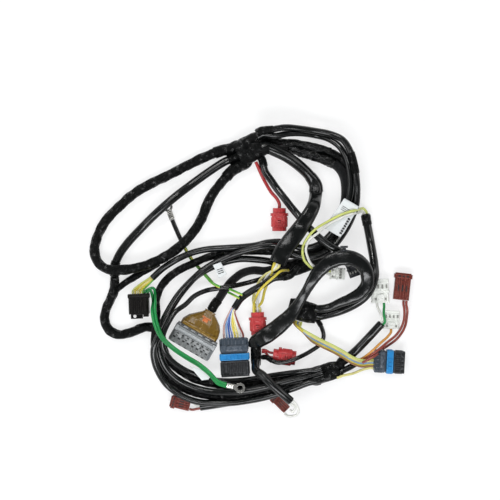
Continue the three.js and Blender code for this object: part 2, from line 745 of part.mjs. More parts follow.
nylonHousing("white_connector_inner", flatPose(330.5, 273, -4), SMALL_NYLON_HOUSING);
nylonHousing("black_connector", flatPose(351, 262.5, -70), SMALL_NYLON_HOUSING, shellBlack);
tapeJoint("top_joint", flatPose(251, 148, 25), TOP_JOINT);
tapeJoint("centre_joint", flatPose(303, 311, -15), CENTRE_JOINT);
const besideFront = (LARGE_CONNECTOR.width + LOWER_JOINT.width) / 2 + JOINT_AIR;
tapeJoint("lower_joint", flatPose(frontPose.at[0] + besideFront / STRETCH_X, 353.5, -90), LOWER_JOINT);
tapeJoint("right_joint", flatPose(328.5, 372.5, 18), RIGHT_JOINT);
tapeJoint("branch_joint", flatPose(298, 266, 195), BRANCH_JOINT);

// Left side: the inner sheath, the taped loom that it runs into, and the trunk outside them
cord("ring_lead_upper", sheathBlack, {
  diameter: RING_LEAD_D,
  from: port("ring_terminal_upper", 0, 0, BARREL_D / 2),
  plan: [[175.5, 229], [180, 239], [185, 249], [191, 259], [199, 268.5], [207, 277.5], [212, 283]],
});
cord("inner_sheath", sheathBlack, {
  diameter: INNER_SHEATH_D,
  from: port("top_joint", BACK, -1.4),
  plan: [
    [225, 161], [210, 170.5], [190, 185], [170, 201], [150, 219], [138, 231], [127, 243], [118.5, 255],
    [114.2, 266], [114, 277],
  ],
});
// Bottom: the cut-back sheath with the connector at the left
cord("lower_open_sheath", sheathBlack, {
  diameter: OPEN_SHEATH_D,
  plan: [
    [200, 407.5], [213, 405.5], [228, 403], [245, 400], [262, 396], [280, 391], [297, 385.5],
    [311, 380.5],
  ],
  to: port("right_joint", BACK, -5),
});
fan(
  "left_leads",
  wireWhite,
  [mouthBoot("lower_open_sheath", "start", 0.8 * OPEN_SHEATH_D)],
  [-1.7, 1.7].map((aside) => ({
    diameter: THIN_WIRE_D,
    from: mouth("lower_open_sheath", "start", aside),
    to: port("maroon_connector_left", 0, 2 * aside, LEFT_BLADE_HOUSING.height / 2),
  })),
);
const leftLoom = cordSolid("left_taped_loom", {
  diameter: LEFT_LOOM_D,
  from: mouth("inner_sheath", "end", 0, (LEFT_LOOM_D - INNER_SHEATH_D) / 2),
  plan: [
    [113.5, 290], [110, 299], [105.5, 309], [104, 320], [108, 330], [118, 335], [131, 332.5], [145, 327.5],
    [155, 329], [160.5, 337], [162, 347], [166, 357.5], [174, 366], [184, 373.5], [196, 379.5],
    [210, 383.5],
    [227, 385.5], [245, 385], [265, 381.5], [285, 377], [305, 373.5],
  ],
  to: port("right_joint", BACK, 5),
});
const forkStart = onTable([113, 292]);
const fork = cordSolid("fork", {
  diameter: FORK_D,
  from: ending(forkStart.x, forkStart.y, new THREE.Vector3(0.77, 0.64, 0), undefined, "left_taped_loom"),
  plan: [[129, 280], [139, 274], [149, 268.5], [158, 263]],
});
add("left_taped_loom", geometryOf(join([leftLoom, fork])), tapeBlack);
cord("outer_trunk", tapeBlack, {
  diameter: TRUNK_D,
  from: port("top_joint", BACK, 8.4),
  plan: [
    [222, 150], [205, 156.5], [188, 164.5], [170, 174], [150, 183.5], [132, 194.5], [118, 207],
    [106, 219.5],
    [98, 233], [94, 249], [97, 261], [106, 268.5], [120, 270], [136, 268], [152, 263], [168, 255],
    [181, 245],
    [192, 233.5], [201, 219], [208.5, 201], [215, 190], [224, 179], [233, 169.5],
  ],
  to: port("top_joint", BACK, -11.4),
});

// Right side: the bundle that bows out to the right and comes back in
cord("trunk_braid", braidBlack, {
  diameter: BRAID_D,
  from: port("top_joint", FRONT, -3),
  plan: [
    [288, 146], [301, 151], [314, 155.5], [327, 160], [338, 166.5], [344, 175], [346.5, 188], [345.5, 202],
    [341, 216], [335, 230], [328, 243], [321.5, 254],
  ],
  to: port("branch_joint", BACK, 0),
});
cord("taped_sheath", tapeBlack, {
  diameter: TAPED_SHEATH_D,
  from: port("top_joint", FRONT, 3),
  plan: [
    [280, 142.5], [297, 144], [313, 147], [329, 151.5], [342, 159], [350.5, 170], [354.5, 184],
    [354.5, 199],
    [350.5, 213], [343, 226.5], [332.5, 239.5], [320, 249.5], [305, 254], [290, 254], [272, 251.5],
    [255, 251], [240, 251], [222, 253.5], [206, 258], [192, 264], [179, 270], [168, 278], [160, 288],
    [156, 300], [156.5, 312], [156, 326], [154.5, 340], [156, 354], [161, 368], [169.5, 380], [183, 389],
    [200, 395], [218, 396.5], [237, 394.5], [257, 390.5], [278, 385.5], [300, 379.5],
  ],
  to: port("right_joint", BACK, 0.5),
});
cord("relay_sheath", sheathBlack, {
  diameter: LONG_SHEATH_D,
  from: port("top_joint", FRONT, 6.5),
  plan: [
    [275, 136.5], [288, 134], [302, 133.5], [316, 135], [328, 138.5], [338.5, 146], [345.5, 157],
    [349, 170],
    [350.5, 184], [349, 198], [344.5, 211], [338, 223], [329.5, 235], [318, 244.5], [305, 248],
    [292, 245.5],
    [281, 242], [268, 242.5], [255, 245.5], [242, 247], [226, 248], [210, 249], [198, 251], [186, 255],
    [174, 261], [162, 269], [152, 278],
  ],
});
cord("middle_sheath", sheathBlack, {
  diameter: LOWER_SHEATH_D,
  from: port("branch_joint", FRONT, -5),
  plan: [
    [270, 261.5], [255, 259.5], [240, 259], [225, 262], [211, 267.5], [198, 275], [187, 285], [177.5, 296],
    [169.5, 309], [162.5, 324], [159.5, 340], [161, 356], [167.5, 370], [178, 380], [192, 387], [208, 391],
    [226, 391.5], [245, 390], [265, 386], [285, 380.5], [305, 376],
  ],
  to: port("right_joint", BACK, 3.5),
});
cord("long_sheath", sheathBlack, {
  diameter: LONG_SHEATH_D,
  from: port("top_joint", FRONT, 10.5),
  plan: [
    [272, 130.5], [285, 128.5], [300, 129.5], [315, 131.5], [330, 134.5], [342, 140.5], [349, 151],
    [353, 164],
    [355.5, 178], [356.5, 192], [355.5, 206], [350.5, 220], [344, 232], [335.5, 243.5], [324.5, 252.5],
    [311, 257], [297, 255.5], [285, 250], [273, 246.5], [261, 247.5], [249, 250], [237, 253.5],
    [224, 258.5],
    [211, 265], [199, 273.5], [189, 284], [179.5, 296], [171.5, 309], [165, 323], [158.5, 337],
    [154.5, 349],
    [155.5, 362], [160, 374], [167, 385], [177, 393], [189, 399], [202, 402.5], [216, 403], [232, 402.5],
    [248, 400], [264, 396.5], [279, 392], [294, 386.5], [308, 381],
  ],
  to: port("right_joint", BACK, -3),
});
cord("unit_loom", braidBlack, {
  diameter: BACKSHELL_BRAID_D,
  from: port("branch_joint", FRONT, 0.5),
  plan: [[275, 269.5], [264, 271], [253, 270.5], [242, 273.5], [232, 281], [224, 291], [217.5, 301]],
  to: port("unit_neck", -UNIT_L / 2 - AIR - HOOD_L, 0.5, HOOD_MIDDLE),
});
cord("small_inner_sheath", sheathBlack, {
  diameter: THIN_SHEATH_D,
  from: port("branch_joint", FRONT, 4.5),
  plan: [
    [272, 275], [258, 280], [245, 283.5], [231, 286.5], [217, 288.5], [205, 291], [194.5, 296], [186, 304],
    [176.5, 311], [169.5, 322], [164.5, 334], [164, 346], [170, 357], [180, 366], [192, 373], [207, 378],
    [223, 380], [240, 380], [257, 378], [275, 374.5], [295, 371], [310, 369],
  ],
  to: port("right_joint", BACK, 7.5),
});

ringTerminal("ring_terminal_lower", flatPose(227, 383.5, -12));

// Bottom: the cut-back sheath over the arcs
cord("end_sheath", sheathBlack, {
  diameter: OPEN_SHEATH_D,
  from: port("lower_joint", FRONT, 0, LOWER_JOINT_MIDDLE),
  plan: [[262.5, 373.5], [270, 381], [279, 389], [290, 399]],
});
fan(
  "end_leads",
  wireWhite,
  [mouthBoot("end_sheath", "end", 0.8 * OPEN_SHEATH_D)],
  [-1.7, 1.7].map((aside) => ({
    diameter: THIN_WIRE_D,
    from: mouth("end_sheath", "end", aside),
    plan: [[296.5 + aside, 407 + aside], [294 + aside, 412 + aside]],
    to: port("maroon_connector_lower", 0, 2 * aside, LOWER_BLADE_HOUSING.height / 2),
  })),
);
fan(
  "lower_red_leads",
  wireRed,
  [portBoot("red_connector_lower", 0, 0, SEALED_HOUSING.height / 2, 8, 4)],
  [-2.2, 2.2].map((aside) => ({
    diameter: THIN_WIRE_D,
    from: port("lower_joint", -2 + aside / 2, LEFT, LOWER_JOINT_MIDDLE),
    to: port("red_connector_lower", 0, -aside, SEALED_HOUSING.height / 2),
  })),
);
cord("small_lead", sheathBlack, {
  diameter: SMALL_LOOP_D,
  from: port("centre_joint", FRONT, -5),
  plan: [
    [318, 321], [322.5, 329], [324, 337.5], [320, 345], [311, 351], [300, 356.5], [288, 361],
    [276, 362],
  ],
  to: port("lower_joint", 4, LEFT, LOWER_JOINT_MIDDLE),
});

// Right: the sheaths that fan out to the white, the maroon and the blue-banded connectors
cord("cross_sheath", sheathBlack, {
  diameter: OPEN_SHEATH_D,
  from: port("right_joint", FRONT, 3),
  plan: [[341, 363.5], [351, 356], [359, 348.5], [367, 339.5], [374, 331.5], [381, 323.5]],
});
fan(
  "white_leads",
  wireLime,
  [mouthBoot("cross_sheath", "end", 0.8 * OPEN_SHEATH_D)],
  [-1.7, 1.7].map((aside) => ({
    diameter: THIN_WIRE_D,
    from: mouth("cross_sheath", "end", aside),
    plan: [[382 - aside, 313]],
    to: port("white_connector_upper", 0, 2 * aside, NYLON_HOUSING.height / 2),
  })),
);
cord("maroon_sheath", sheathBlack, {
  diameter: CROSS_SHEATH_D,
  from: port("right_joint", FRONT, -4.5),
  plan: [[342, 372], [351, 367.5], [361, 361.5]],
});

// Middle: the riser, the flat loop over it, and what hangs on them
cord("right_riser", sheathBlack, {
  diameter: RISER_D,
  from: port("centre_joint", FRONT, -0.5),
  plan: [
    [327, 315], [340, 311.5], [353, 305.5], [364, 297.5], [371, 287.5], [374.5, 276], [374, 263.5],
    [372.5, 251],
    [370.5, 238], [368, 225], [366, 214],
  ],
});
cord("upper_red_lead", wireRed, {
  diameter: RING_LEAD_D,
  from: port("top_joint", -1.4, RIGHT, TOP_JOINT.height / 2),
  plan: [[260, 171], [265.5, 182], [271.5, 192], [277, 198.5]],
  to: port("red_connector_upper", 0, 0, SEALED_HOUSING.height / 2),
});
cord("diagonal_sheath", sheathBlack, {
  diameter: DIAGONAL_D,
  from: port("top_joint", 5.2, RIGHT, TOP_JOINT.height / 2),
  plan: [
    [265, 171], [271, 180], [277.5, 189.5], [284, 198], [290.5, 206.5], [297, 214.5], [303, 222],
    [310, 229.5],
    [318.5, 238], [329, 246], [339, 251.5],
  ],
  to: port("black_connector", 0, 0, SMALL_NYLON_HOUSING.height / 2),
});
const upperLoom = cordSolid("thick_loom", {
  diameter: UPPER_LOOM_D,
  from: port("top_joint", FRONT, -5.5),
  plan: [[275, 153.5], [286, 158], [297.5, 165], [307.5, 173], [315, 182]],
});
const wideSheath = cordSolid("wide_sheath", {
  diameter: UPPER_SHEATH_D,
  width: WIDE_SHEATH_W,
  from: mouth("thick_loom", "end"),
  plan: [[316, 194], [313, 206], [306, 219], [297.5, 231], [288.5, 243], [281, 254], [277, 263]],
});
const seam = mouth("thick_loom", "end");
const collar = boot({ ...seam, point: seam.leadOut(-4) }, WIDE_SHEATH_W + 1, UPPER_LOOM_D, 3);
add("thick_loom", geometryOf(join([upperLoom, collar, wideSheath])), sheathBlack);
fan(
  "riser_leads",
  wireLime,
  [mouthBoot("right_riser", "end", 0.75 * RISER_D)],
  [-1.6, 1.6].map((aside) => ({
    diameter: THIN_WIRE_D,
    from: mouth("right_riser", "end", aside),
    plan: [
      [364 - aside, 208.5 + aside], [358, 212 + 0.9 * aside], [348, 214 + 0.9 * aside], [337, 218 + aside],
      [326, 224 + aside], [315.5 + aside, 231.5 + aside], [307 + aside, 240], [303.5 + aside, 249],
      [305 + aside, 258 - aside], [311, 266 - aside], [319, 270.5 - aside],
    ],
    to: port("white_connector_inner", 0, -aside, SMALL_NYLON_HOUSING.height / 2),
  })),
);
cord("flat_loop", tapeBlack, {
  diameter: FLAT_LOOM_H,
  width: FLAT_LOOM_W,
  from: port("lower_joint", BACK, 0, LOWER_JOINT_MIDDLE),
  plan: [
    [259.5, 339.5], [268, 334], [279, 325.5], [289, 316], [297, 305], [304, 293.5], [311, 281],
    [319, 269.5], [329.5, 261],
    [341, 257.5], [352.5, 259], [361.5, 265], [366, 274], [366, 284], [360, 292], [350, 297], [338, 300.5],
    [326, 303],
  ],
  to: port("centre_joint", FRONT, 6),
});

// Wires that leave the open sheaths
fan(
  "relay_leads",
  wireYellow,
  [mouthBoot("relay_sheath", "end", 0.8 * LONG_SHEATH_D)],
  [-1.4, 1.4].map((aside) => ({
    diameter: THIN_WIRE_D,
    from: mouth("relay_sheath", "end", aside),
    plan: [[144 + aside, 284]],
    to: port("relay", 0, 2.2 * aside - 1, RELAY.height / 2),
  })),
);
fan(
  "green_leads",
  wireGreen,
  [portBoot("relay", 0, 7.5, 5, 6.5, 4)],
  [-1.5, 1.5].map((aside) => ({
    diameter: WIRE_D,
    from: port("relay", 0, 7.5 + aside, 5),
    plan: [
      [151.5 + aside, 290 - aside], [154 + aside, 299], [154.5 + aside, 312], [157.5 + aside, 324],
      [163 + aside, 335],
      [173, 345.5 - aside], [187, 356 - aside], [200, 364.5 - aside], [210, 372.5 - aside],
      [218, 380.5 - aside],
    ],
    to: port("ring_terminal_lower", 0, 0.8 * aside, BARREL_D / 2),
  })),
);
fan(
  "middle_leads",
  wireYellow,
  [boot(mouth("wide_sheath", "end"), 9, 5)],
  [-2.4, 2.4].map((aside) => ({
    diameter: WIRE_D,
    from: mouth("wide_sheath", "end", aside),
    plan: [[267 - 1.5 * aside, 276], [260 - 2 * aside, 290], [257.5 - 1.6 * aside, 303]],
    to: port("red_connector_middle", 0, 1.1 * aside, SEALED_HOUSING.height / 2),
  })),
);
cord("front_sheath", sheathBlack, {
  diameter: LOWER_SHEATH_D,
  from: port("branch_joint", FRONT, 6.5),
  plan: [[273, 278], [262, 285], [251, 291], [241, 298.5], [234.5, 308]],
});
fan(
  "front_leads",
  wireYellow,
  [mouthBoot("front_sheath", "end", 0.8 * LOWER_SHEATH_D)],
  [-9, -3, 3, 9].map((y) => ({
    diameter: THIN_WIRE_D,
    from: mouth("front_sheath", "end", y / 6),
    plan: [[231.5 + 0.75 * y, 325]],
    to: port("front_connector", 0, y, BAND_SHELL_H / 2),
  })),
);
fan(
  "maroon_leads",
  wireBrown,
  [mouthBoot("maroon_sheath", "end", 0.8 * CROSS_SHEATH_D)],
  [
    {
      diameter: THIN_WIRE_D,
      from: mouth("maroon_sheath", "end", 1.5),
      plan: [[380, 343], [387.5, 337]],
      to: port("white_connector_lower", 0, 0, SHORT_NYLON_HOUSING.height / 2),
    },
    {
      diameter: THIN_WIRE_D,
      from: mouth("maroon_sheath", "end", 0),
      plan: [[386, 343], [397, 334], [403.5, 322], [405, 310]],
      to: port("maroon_connector_right", 0, -3, UPRIGHT_BLADE_HOUSING.height / 2),
    },
  ],
);
fan(
  "signal_leads",
  wireLime,
  [portBoot("side_connector", 0, -3, BAND_SHELL_H / 2, 12, 5)],
  [
    ...[-3, 0, 3].map((aside) => ({
      diameter: THIN_WIRE_D,
      from: port("centre_joint", aside - 2, RIGHT, CENTRE_JOINT_MIDDLE),
      plan: [
        [302 - 0.5 * aside, 330 - 0.8 * aside], [312, 338 - aside], [323, 344 - aside],
        [334, 349.5 - aside],
        [344, 355 - aside], [353, 360.5 - aside], [362, 363.5 - aside],
      ],
      to: port("side_connector", 0, aside - 2, BAND_SHELL_H / 2),
    })),
    {
      diameter: THIN_WIRE_D,
      from: port("right_joint", FRONT, -8),
      plan: [[343, 376], [354, 374], [364, 370]],
      to: port("side_connector", 0, -7.5, BAND_SHELL_H / 2),
    },
  ],
);

export default harness;
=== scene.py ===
"""The looks of a vehicle wiring harness that lies flat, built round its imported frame.

Plan positions are laying-board millimetres, x to the right and y down. Heights are never written
down: a cord takes them from the CAD solid that it stands for.
"""

import json
import logging
import math
from collections.abc import Sequence
from dataclasses import dataclass, field
from enum import Enum

import bmesh
import bpy
import numpy as np
from mathutils import Matrix, Vector
from mathutils.bvhtree import BVHTree

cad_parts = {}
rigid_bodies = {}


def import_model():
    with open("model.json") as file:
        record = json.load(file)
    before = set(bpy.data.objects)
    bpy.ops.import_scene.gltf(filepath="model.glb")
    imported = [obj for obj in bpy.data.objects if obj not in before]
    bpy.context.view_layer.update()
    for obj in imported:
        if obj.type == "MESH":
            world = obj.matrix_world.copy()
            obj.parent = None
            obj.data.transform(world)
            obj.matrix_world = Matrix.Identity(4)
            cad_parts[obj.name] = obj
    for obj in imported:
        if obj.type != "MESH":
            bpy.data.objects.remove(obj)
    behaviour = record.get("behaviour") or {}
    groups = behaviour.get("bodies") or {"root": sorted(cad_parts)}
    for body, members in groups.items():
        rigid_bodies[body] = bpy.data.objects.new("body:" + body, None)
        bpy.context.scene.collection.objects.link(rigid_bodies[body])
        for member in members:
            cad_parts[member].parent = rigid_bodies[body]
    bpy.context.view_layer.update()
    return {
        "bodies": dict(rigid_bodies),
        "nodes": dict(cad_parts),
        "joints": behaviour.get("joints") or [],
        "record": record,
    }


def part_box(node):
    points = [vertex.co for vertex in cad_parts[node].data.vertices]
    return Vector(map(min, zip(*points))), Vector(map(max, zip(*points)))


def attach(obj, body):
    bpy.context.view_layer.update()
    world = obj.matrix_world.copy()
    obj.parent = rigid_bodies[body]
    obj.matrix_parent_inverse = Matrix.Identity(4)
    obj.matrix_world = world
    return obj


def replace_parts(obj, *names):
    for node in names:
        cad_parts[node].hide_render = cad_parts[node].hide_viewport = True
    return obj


log = logging.getLogger("harness")

MM = 0.001
BOARD_X = 251.6  # board point that is the frame's origin
BOARD_Y = 271.0
BUTT = 0.3  # clearance where a cord butts against a face
LOOM_STEP = 1.1  # spacing of a loom's rings
WIRE_STEP = 1.0
BAND_STEP = 0.0008  # spacing of the rings of tape tails and sleeves, in metres
TAIL_HOLD = 0.008  # how much of a cord a joint's tape tail covers, in metres
TAPE_TURNS = 105.0  # turns of tape in a metre of loom
BAND_TURNS = 150.0  # the same for a short band of tape
BAND_SIDES = 32
JOINT_SIDES = 40
CRUMPLE_SIDES = 36
ROUND_EDGES = 60.0  # degrees above which an edge of a cord stays sharp
SHEET_EDGES = 40.0
MOULDED_EDGES = 30.0
LOCK_GAP = 0.42  # millimetres between a lock bar and its neighbours
LOCK_LENGTH = 6.6
WELD_REACH = 2e-6  # metres, as the two below
EDGE_ROUNDING = 0.00022
LABEL_THICKNESS = 0.0004
EDGE_ANGLE = 38.0  # degrees above which an edge of a CAD part is rounded
PHOTO_CENTRE = (250.0, 250.0)
PHOTO_SPAN = 0.5  # metres across the photo
LENS = 100.0
SENSOR = 36.0
FOCUS_HEIGHT = 0.012  # the height in metres where the photo's scale holds
SEED = 7

VECTOR_SOCKETS = ("Lay", "Place", "Normal")  # the others of an effect are plain numbers

RAY_START = 0.2  # metres above the table, from where heights are felt
RAY_STEP = 2e-5  # how far under a hit the next ray starts
MOST_HITS = 12
FIRST_HEIGHT = 0.02  # the height in metres near which a cord's first point is looked for
HEIGHT_JUMP = 0.004  # a cord's height that changes by more in one step is another cord's
SHEET_GAP = 0.0002  # metres between a sheet and a wire over it

Point = tuple[float, float]
Colour = tuple[float, float, float, float]
Box = tuple[float, float, float, float, float, float]


class Slot(Enum):
    """The record's material slots that a piece can take its finish from."""

    SHEATH = "sheath"
    TAPE = "tape"
    BRAID = "braid"
    BLACK = "black_housing"
    CAP = "grey_cap"
    LOCK = "blue_lock"
    UNIT = "unit_grey"
    LEVER = "lever_grey"
    AMBER = "amber"
    MAROON = "maroon"
    WHITE = "white_nylon"
    RED = "red_housing"
    METAL = "tinned_copper"
    WIRE_WHITE = "wire_white"
    WIRE_RED = "wire_red"
    WIRE_LIME = "wire_lime"
    WIRE_YELLOW = "wire_yellow"
    WIRE_GREEN = "wire_green"
    WIRE_BROWN = "wire_brown"


class Skin(Enum):
    """What a cord is covered with."""

    SMOOTH = "smooth"
    TAPED = "taped"
    WOVEN = "woven"
    WIRE = "wire"


def srgb(red: float, green: float, blue: float) -> Colour:
    """Turns a display colour into the linear one that nodes take.

    Args:
        red: Red, from 0 to 255.
        green: Green, from 0 to 255.
        blue: Blue, from 0 to 255.

    Returns:
        The linear colour with full alpha.
    """
    parts = (value / 255 for value in (red, green, blue))
    linear = [v / 12.92 if v <= 0.04045 else ((v + 0.055) / 1.055) ** 2.4 for v in parts]
    return (linear[0], linear[1], linear[2], 1.0)


# Shader graphs


@dataclass
class Graph:
    """Adds nodes to one tree and wires them up."""

    tree: bpy.types.NodeTree

    def add(self, kind: str, inputs: dict | None = None, **settings) -> bpy.types.Node:
        """Adds a node.

        Args:
            kind: The node's type without the words ShaderNode.
            inputs: Socket names or numbers, and the value or the socket for each.
            **settings: The node's own settings.

        Returns:
            The new node.
        """
        node = self.tree.nodes.new(f"ShaderNode{kind}")
        for name, value in settings.items():
            setattr(node, name, value)
        for name, value in (inputs or {}).items():
            self.put(node.inputs[name], value)
        return node

    def put(self, socket: bpy.types.NodeSocket, value) -> None:
        """Links an incoming socket to another node's socket, or sets its value."""
        if isinstance(value, bpy.types.NodeSocket):
            self.tree.links.new(value, socket)
        else:
            socket.default_value = value

    def math(self, operation: str, *values) -> bpy.types.NodeSocket:
        """Adds a math node and gives its result."""
        return self.add("Math", dict(enumerate(values)), operation=operation).outputs[0]

    def plus(self, first, second) -> bpy.types.NodeSocket:
        """Gives a sum."""
        return self.math("ADD", first, second)

    def times(self, first, second) -> bpy.types.NodeSocket:
        """Gives a product."""
        return self.math("MULTIPLY", first, second)

    def noise(self, vector, scale: float, detail: float = 2.0, rough: float = 0.55) -> bpy.types.NodeSocket:
        """Adds a noise texture and gives its grey value."""
        inputs = {"Vector": vector, "Scale": scale, "Detail": detail, "Roughness": rough}
        return self.add("TexNoise", inputs).outputs["Fac"]

    def remap(
        self, value, low: float, high: float, to_low: float = 0.0, to_high: float = 1.0
    ) -> bpy.types.NodeSocket:
        """Maps a range of values onto another, clamped."""
        inputs = {0: value, 1: low, 2: high, 3: to_low, 4: to_high}
        return self.add("MapRange", inputs).outputs[0]

    def mix(self, factor, first, second, blend: str = "MIX") -> bpy.types.NodeSocket:
        """Mixes two colours."""
        inputs = {0: factor, 6: first, 7: second}
        return self.add("Mix", inputs, data_type="RGBA", blend_type=blend).outputs[2]

    def bump(self, height, strength: float, distance: float) -> bpy.types.NodeSocket:
        """Adds a bump node and gives its normal."""
        inputs = {"Height": height, "Strength": strength, "Distance": distance}
        return self.add("Bump", inputs).outputs["Normal"]


@dataclass
class Effect:
    """A shader node group that several materials share."""

    name: str
    takes: tuple[str, ...]
    gives: tuple[str, ...]
    tree: bpy.types.NodeTree = field(init=False)
    graph: Graph = field(init=False)

    def __post_init__(self) -> None:
        """Makes the empty group with its sockets."""
        self.tree = bpy.data.node_groups.new(self.name, "ShaderNodeTree")
        for direction, names in (("INPUT", self.takes), ("OUTPUT", self.gives)):
            for name in names:
                kind = "NodeSocketVector" if name in VECTOR_SOCKETS else "NodeSocketFloat"
                self.tree.interface.new_socket(name, in_out=direction, socket_type=kind)
        self.graph = Graph(self.tree)

    def inputs(self) -> bpy.types.bpy_prop_collection:
        """Gives the group's incoming values."""
        return self.tree.nodes.new("NodeGroupInput").outputs

    def put_out(self, **values: bpy.types.NodeSocket) -> None:
        """Wires values to the group's outgoing sockets."""
        out = self.tree.nodes.new("NodeGroupOutput")
        for name, value in values.items():
            self.tree.links.new(value, out.inputs[name])

    def use(self, graph: Graph, **inputs) -> bpy.types.bpy_prop_collection:
        """Adds the group to a material.

        Args:
            graph: The material's graph.
            **inputs: Values or sockets for the group's inputs.

        Returns:
            The group node's outputs.
        """
        node = graph.add("Group", node_tree=self.tree)
        for name, value in inputs.items():
            graph.put(node.inputs[name], value)
        return node.outputs


def tape_effect() -> Effect:
    """Makes the look of tape wound in a spiral: lap edges, the mask of the painted highlight along them,
    wrinkles and the cloth's threads.
    """
    effect = Effect("tape_wrap", ("Lay", "Place", "Turns"), ("Normal", "Edge", "Rub"))
    g = effect.graph
    given = effect.inputs()
    lay = g.add("SeparateXYZ", {0: given["Lay"]}).outputs
    wander = g.times(g.noise(given["Place"], 60.0), 0.3)
    turns = g.times(lay[1], given["Turns"])
    phase = g.math("FRACT", g.plus(g.plus(turns, lay[0]), wander))
    # Mask for the painted highlight along the step of each lap.
    edge = g.remap(phase, 0.0, 0.07, 1.0, 0.0)
    slope = g.times(phase, 0.22)
    wrinkle = g.noise(given["Place"], 320.0, 3.0, 0.55)
    flats = g.noise(given["Place"], 210.0, 3.0)
    crease = g.noise(given["Place"], 170.0, 4.0, 0.6)
    thread = g.times(g.math("SINE", g.times(lay[1], 9000.0)), 0.05)
    height = g.plus(g.plus(slope, g.times(wrinkle, 0.34)), thread)
    height = g.plus(height, g.times(crease, 1.3))
    facet = g.add("TexVoronoi", {"Vector": given["Place"], "Scale": 230.0}, feature="F1").outputs["Distance"]
    height = g.plus(height, facet)
    effect.put_out(
        Normal=g.bump(height, 0.9, 0.0012),
        Edge=edge,
        Rub=g.remap(flats, 0.56, 0.66),
    )
    return effect


def weave_effect() -> Effect:
    """Makes a sleeve braided from flat strands, which cross over and under each other."""
    effect = Effect("braid_weave", ("Lay", "Place"), ("Normal", "Strand", "Rub"))
    g = effect.graph
    given = effect.inputs()
    lay = g.add("SeparateXYZ", {0: given["Lay"]}).outputs
    around = g.times(lay[0], 16.0)
    along = g.times(lay[1], 720.0)
    right = g.math("PINGPONG", g.plus(around, along), 0.5)
    left = g.math("PINGPONG", g.math("SUBTRACT", around, along), 0.5)
    # Strand shape: it raises the bump, and its outgoing copy is the mask of the painted shade between the
    # strands.
    strand = g.times(g.times(right, left), 4.0)
    over = g.math("MAXIMUM", right, left)
    fluff = g.noise(given["Place"], 900.0, 3.0)
    height = g.plus(g.plus(over, strand), g.times(fluff, 0.4))
    effect.put_out(
        Normal=g.bump(height, 0.9, 0.0006),
        Strand=strand,
        Rub=g.remap(fluff, 0.5, 0.7),
    )
    return effect


def drawn_effect() -> Effect:
    """Makes the skin of a drawn plastic tube: long streaks, dents and dull patches."""
    effect = Effect("drawn_skin", ("Lay", "Place"), ("Normal", "Streak", "Dull"))
    g = effect.graph
    given = effect.inputs()
    stretched = g.add("VectorMath", {0: given["Lay"], 1: (14.0, 20.0, 1.0)}, operation="MULTIPLY").outputs[0]
    streak = g.noise(stretched, 1.0, 3.0)
    dent = g.noise(given["Place"], 90.0, 2.0)
    grain = g.noise(given["Place"], 1400.0, 2.0)
    height = g.plus(g.times(streak, 0.2), dent)
    height = g.plus(height, g.times(grain, 0.05))
    effect.put_out(
        Normal=g.bump(height, 0.35, 0.0008),
        Streak=streak,
        Dull=g.remap(g.noise(given["Place"], 35.0, 4.0), 0.35, 0.7),
    )
    return effect


def moulded_effect() -> Effect:
    """Makes moulded plastic: fine grain, sink marks, worn edges and patches of dust."""
    effect = Effect("moulded_skin", ("Place",), ("Normal", "Wear", "Mottle", "Dust"))
    g = effect.graph
    given = effect.inputs()
    grain = g.noise(given["Place"], 2600.0, 2.0)
    sink = g.noise(given["Place"], 130.0, 2.0)
    height = g.plus(g.times(grain, 0.12), sink)
    pointed = g.add("NewGeometry").outputs["Pointiness"]
    scuff = g.noise(given["Place"], 500.0, 4.0)
    worn = g.times(g.remap(pointed, 0.52, 0.62), g.remap(scuff, 0.4, 0.6))
    effect.put_out(
        Normal=g.bump(height, 0.3, 0.0005),
        Wear=worn,
        Mottle=g.noise(given["Place"], 70.0, 4.0),
        Dust=g.remap(g.noise(given["Place"], 60.0, 6.0, 0.7), 0.55, 0.75),
    )
    return effect


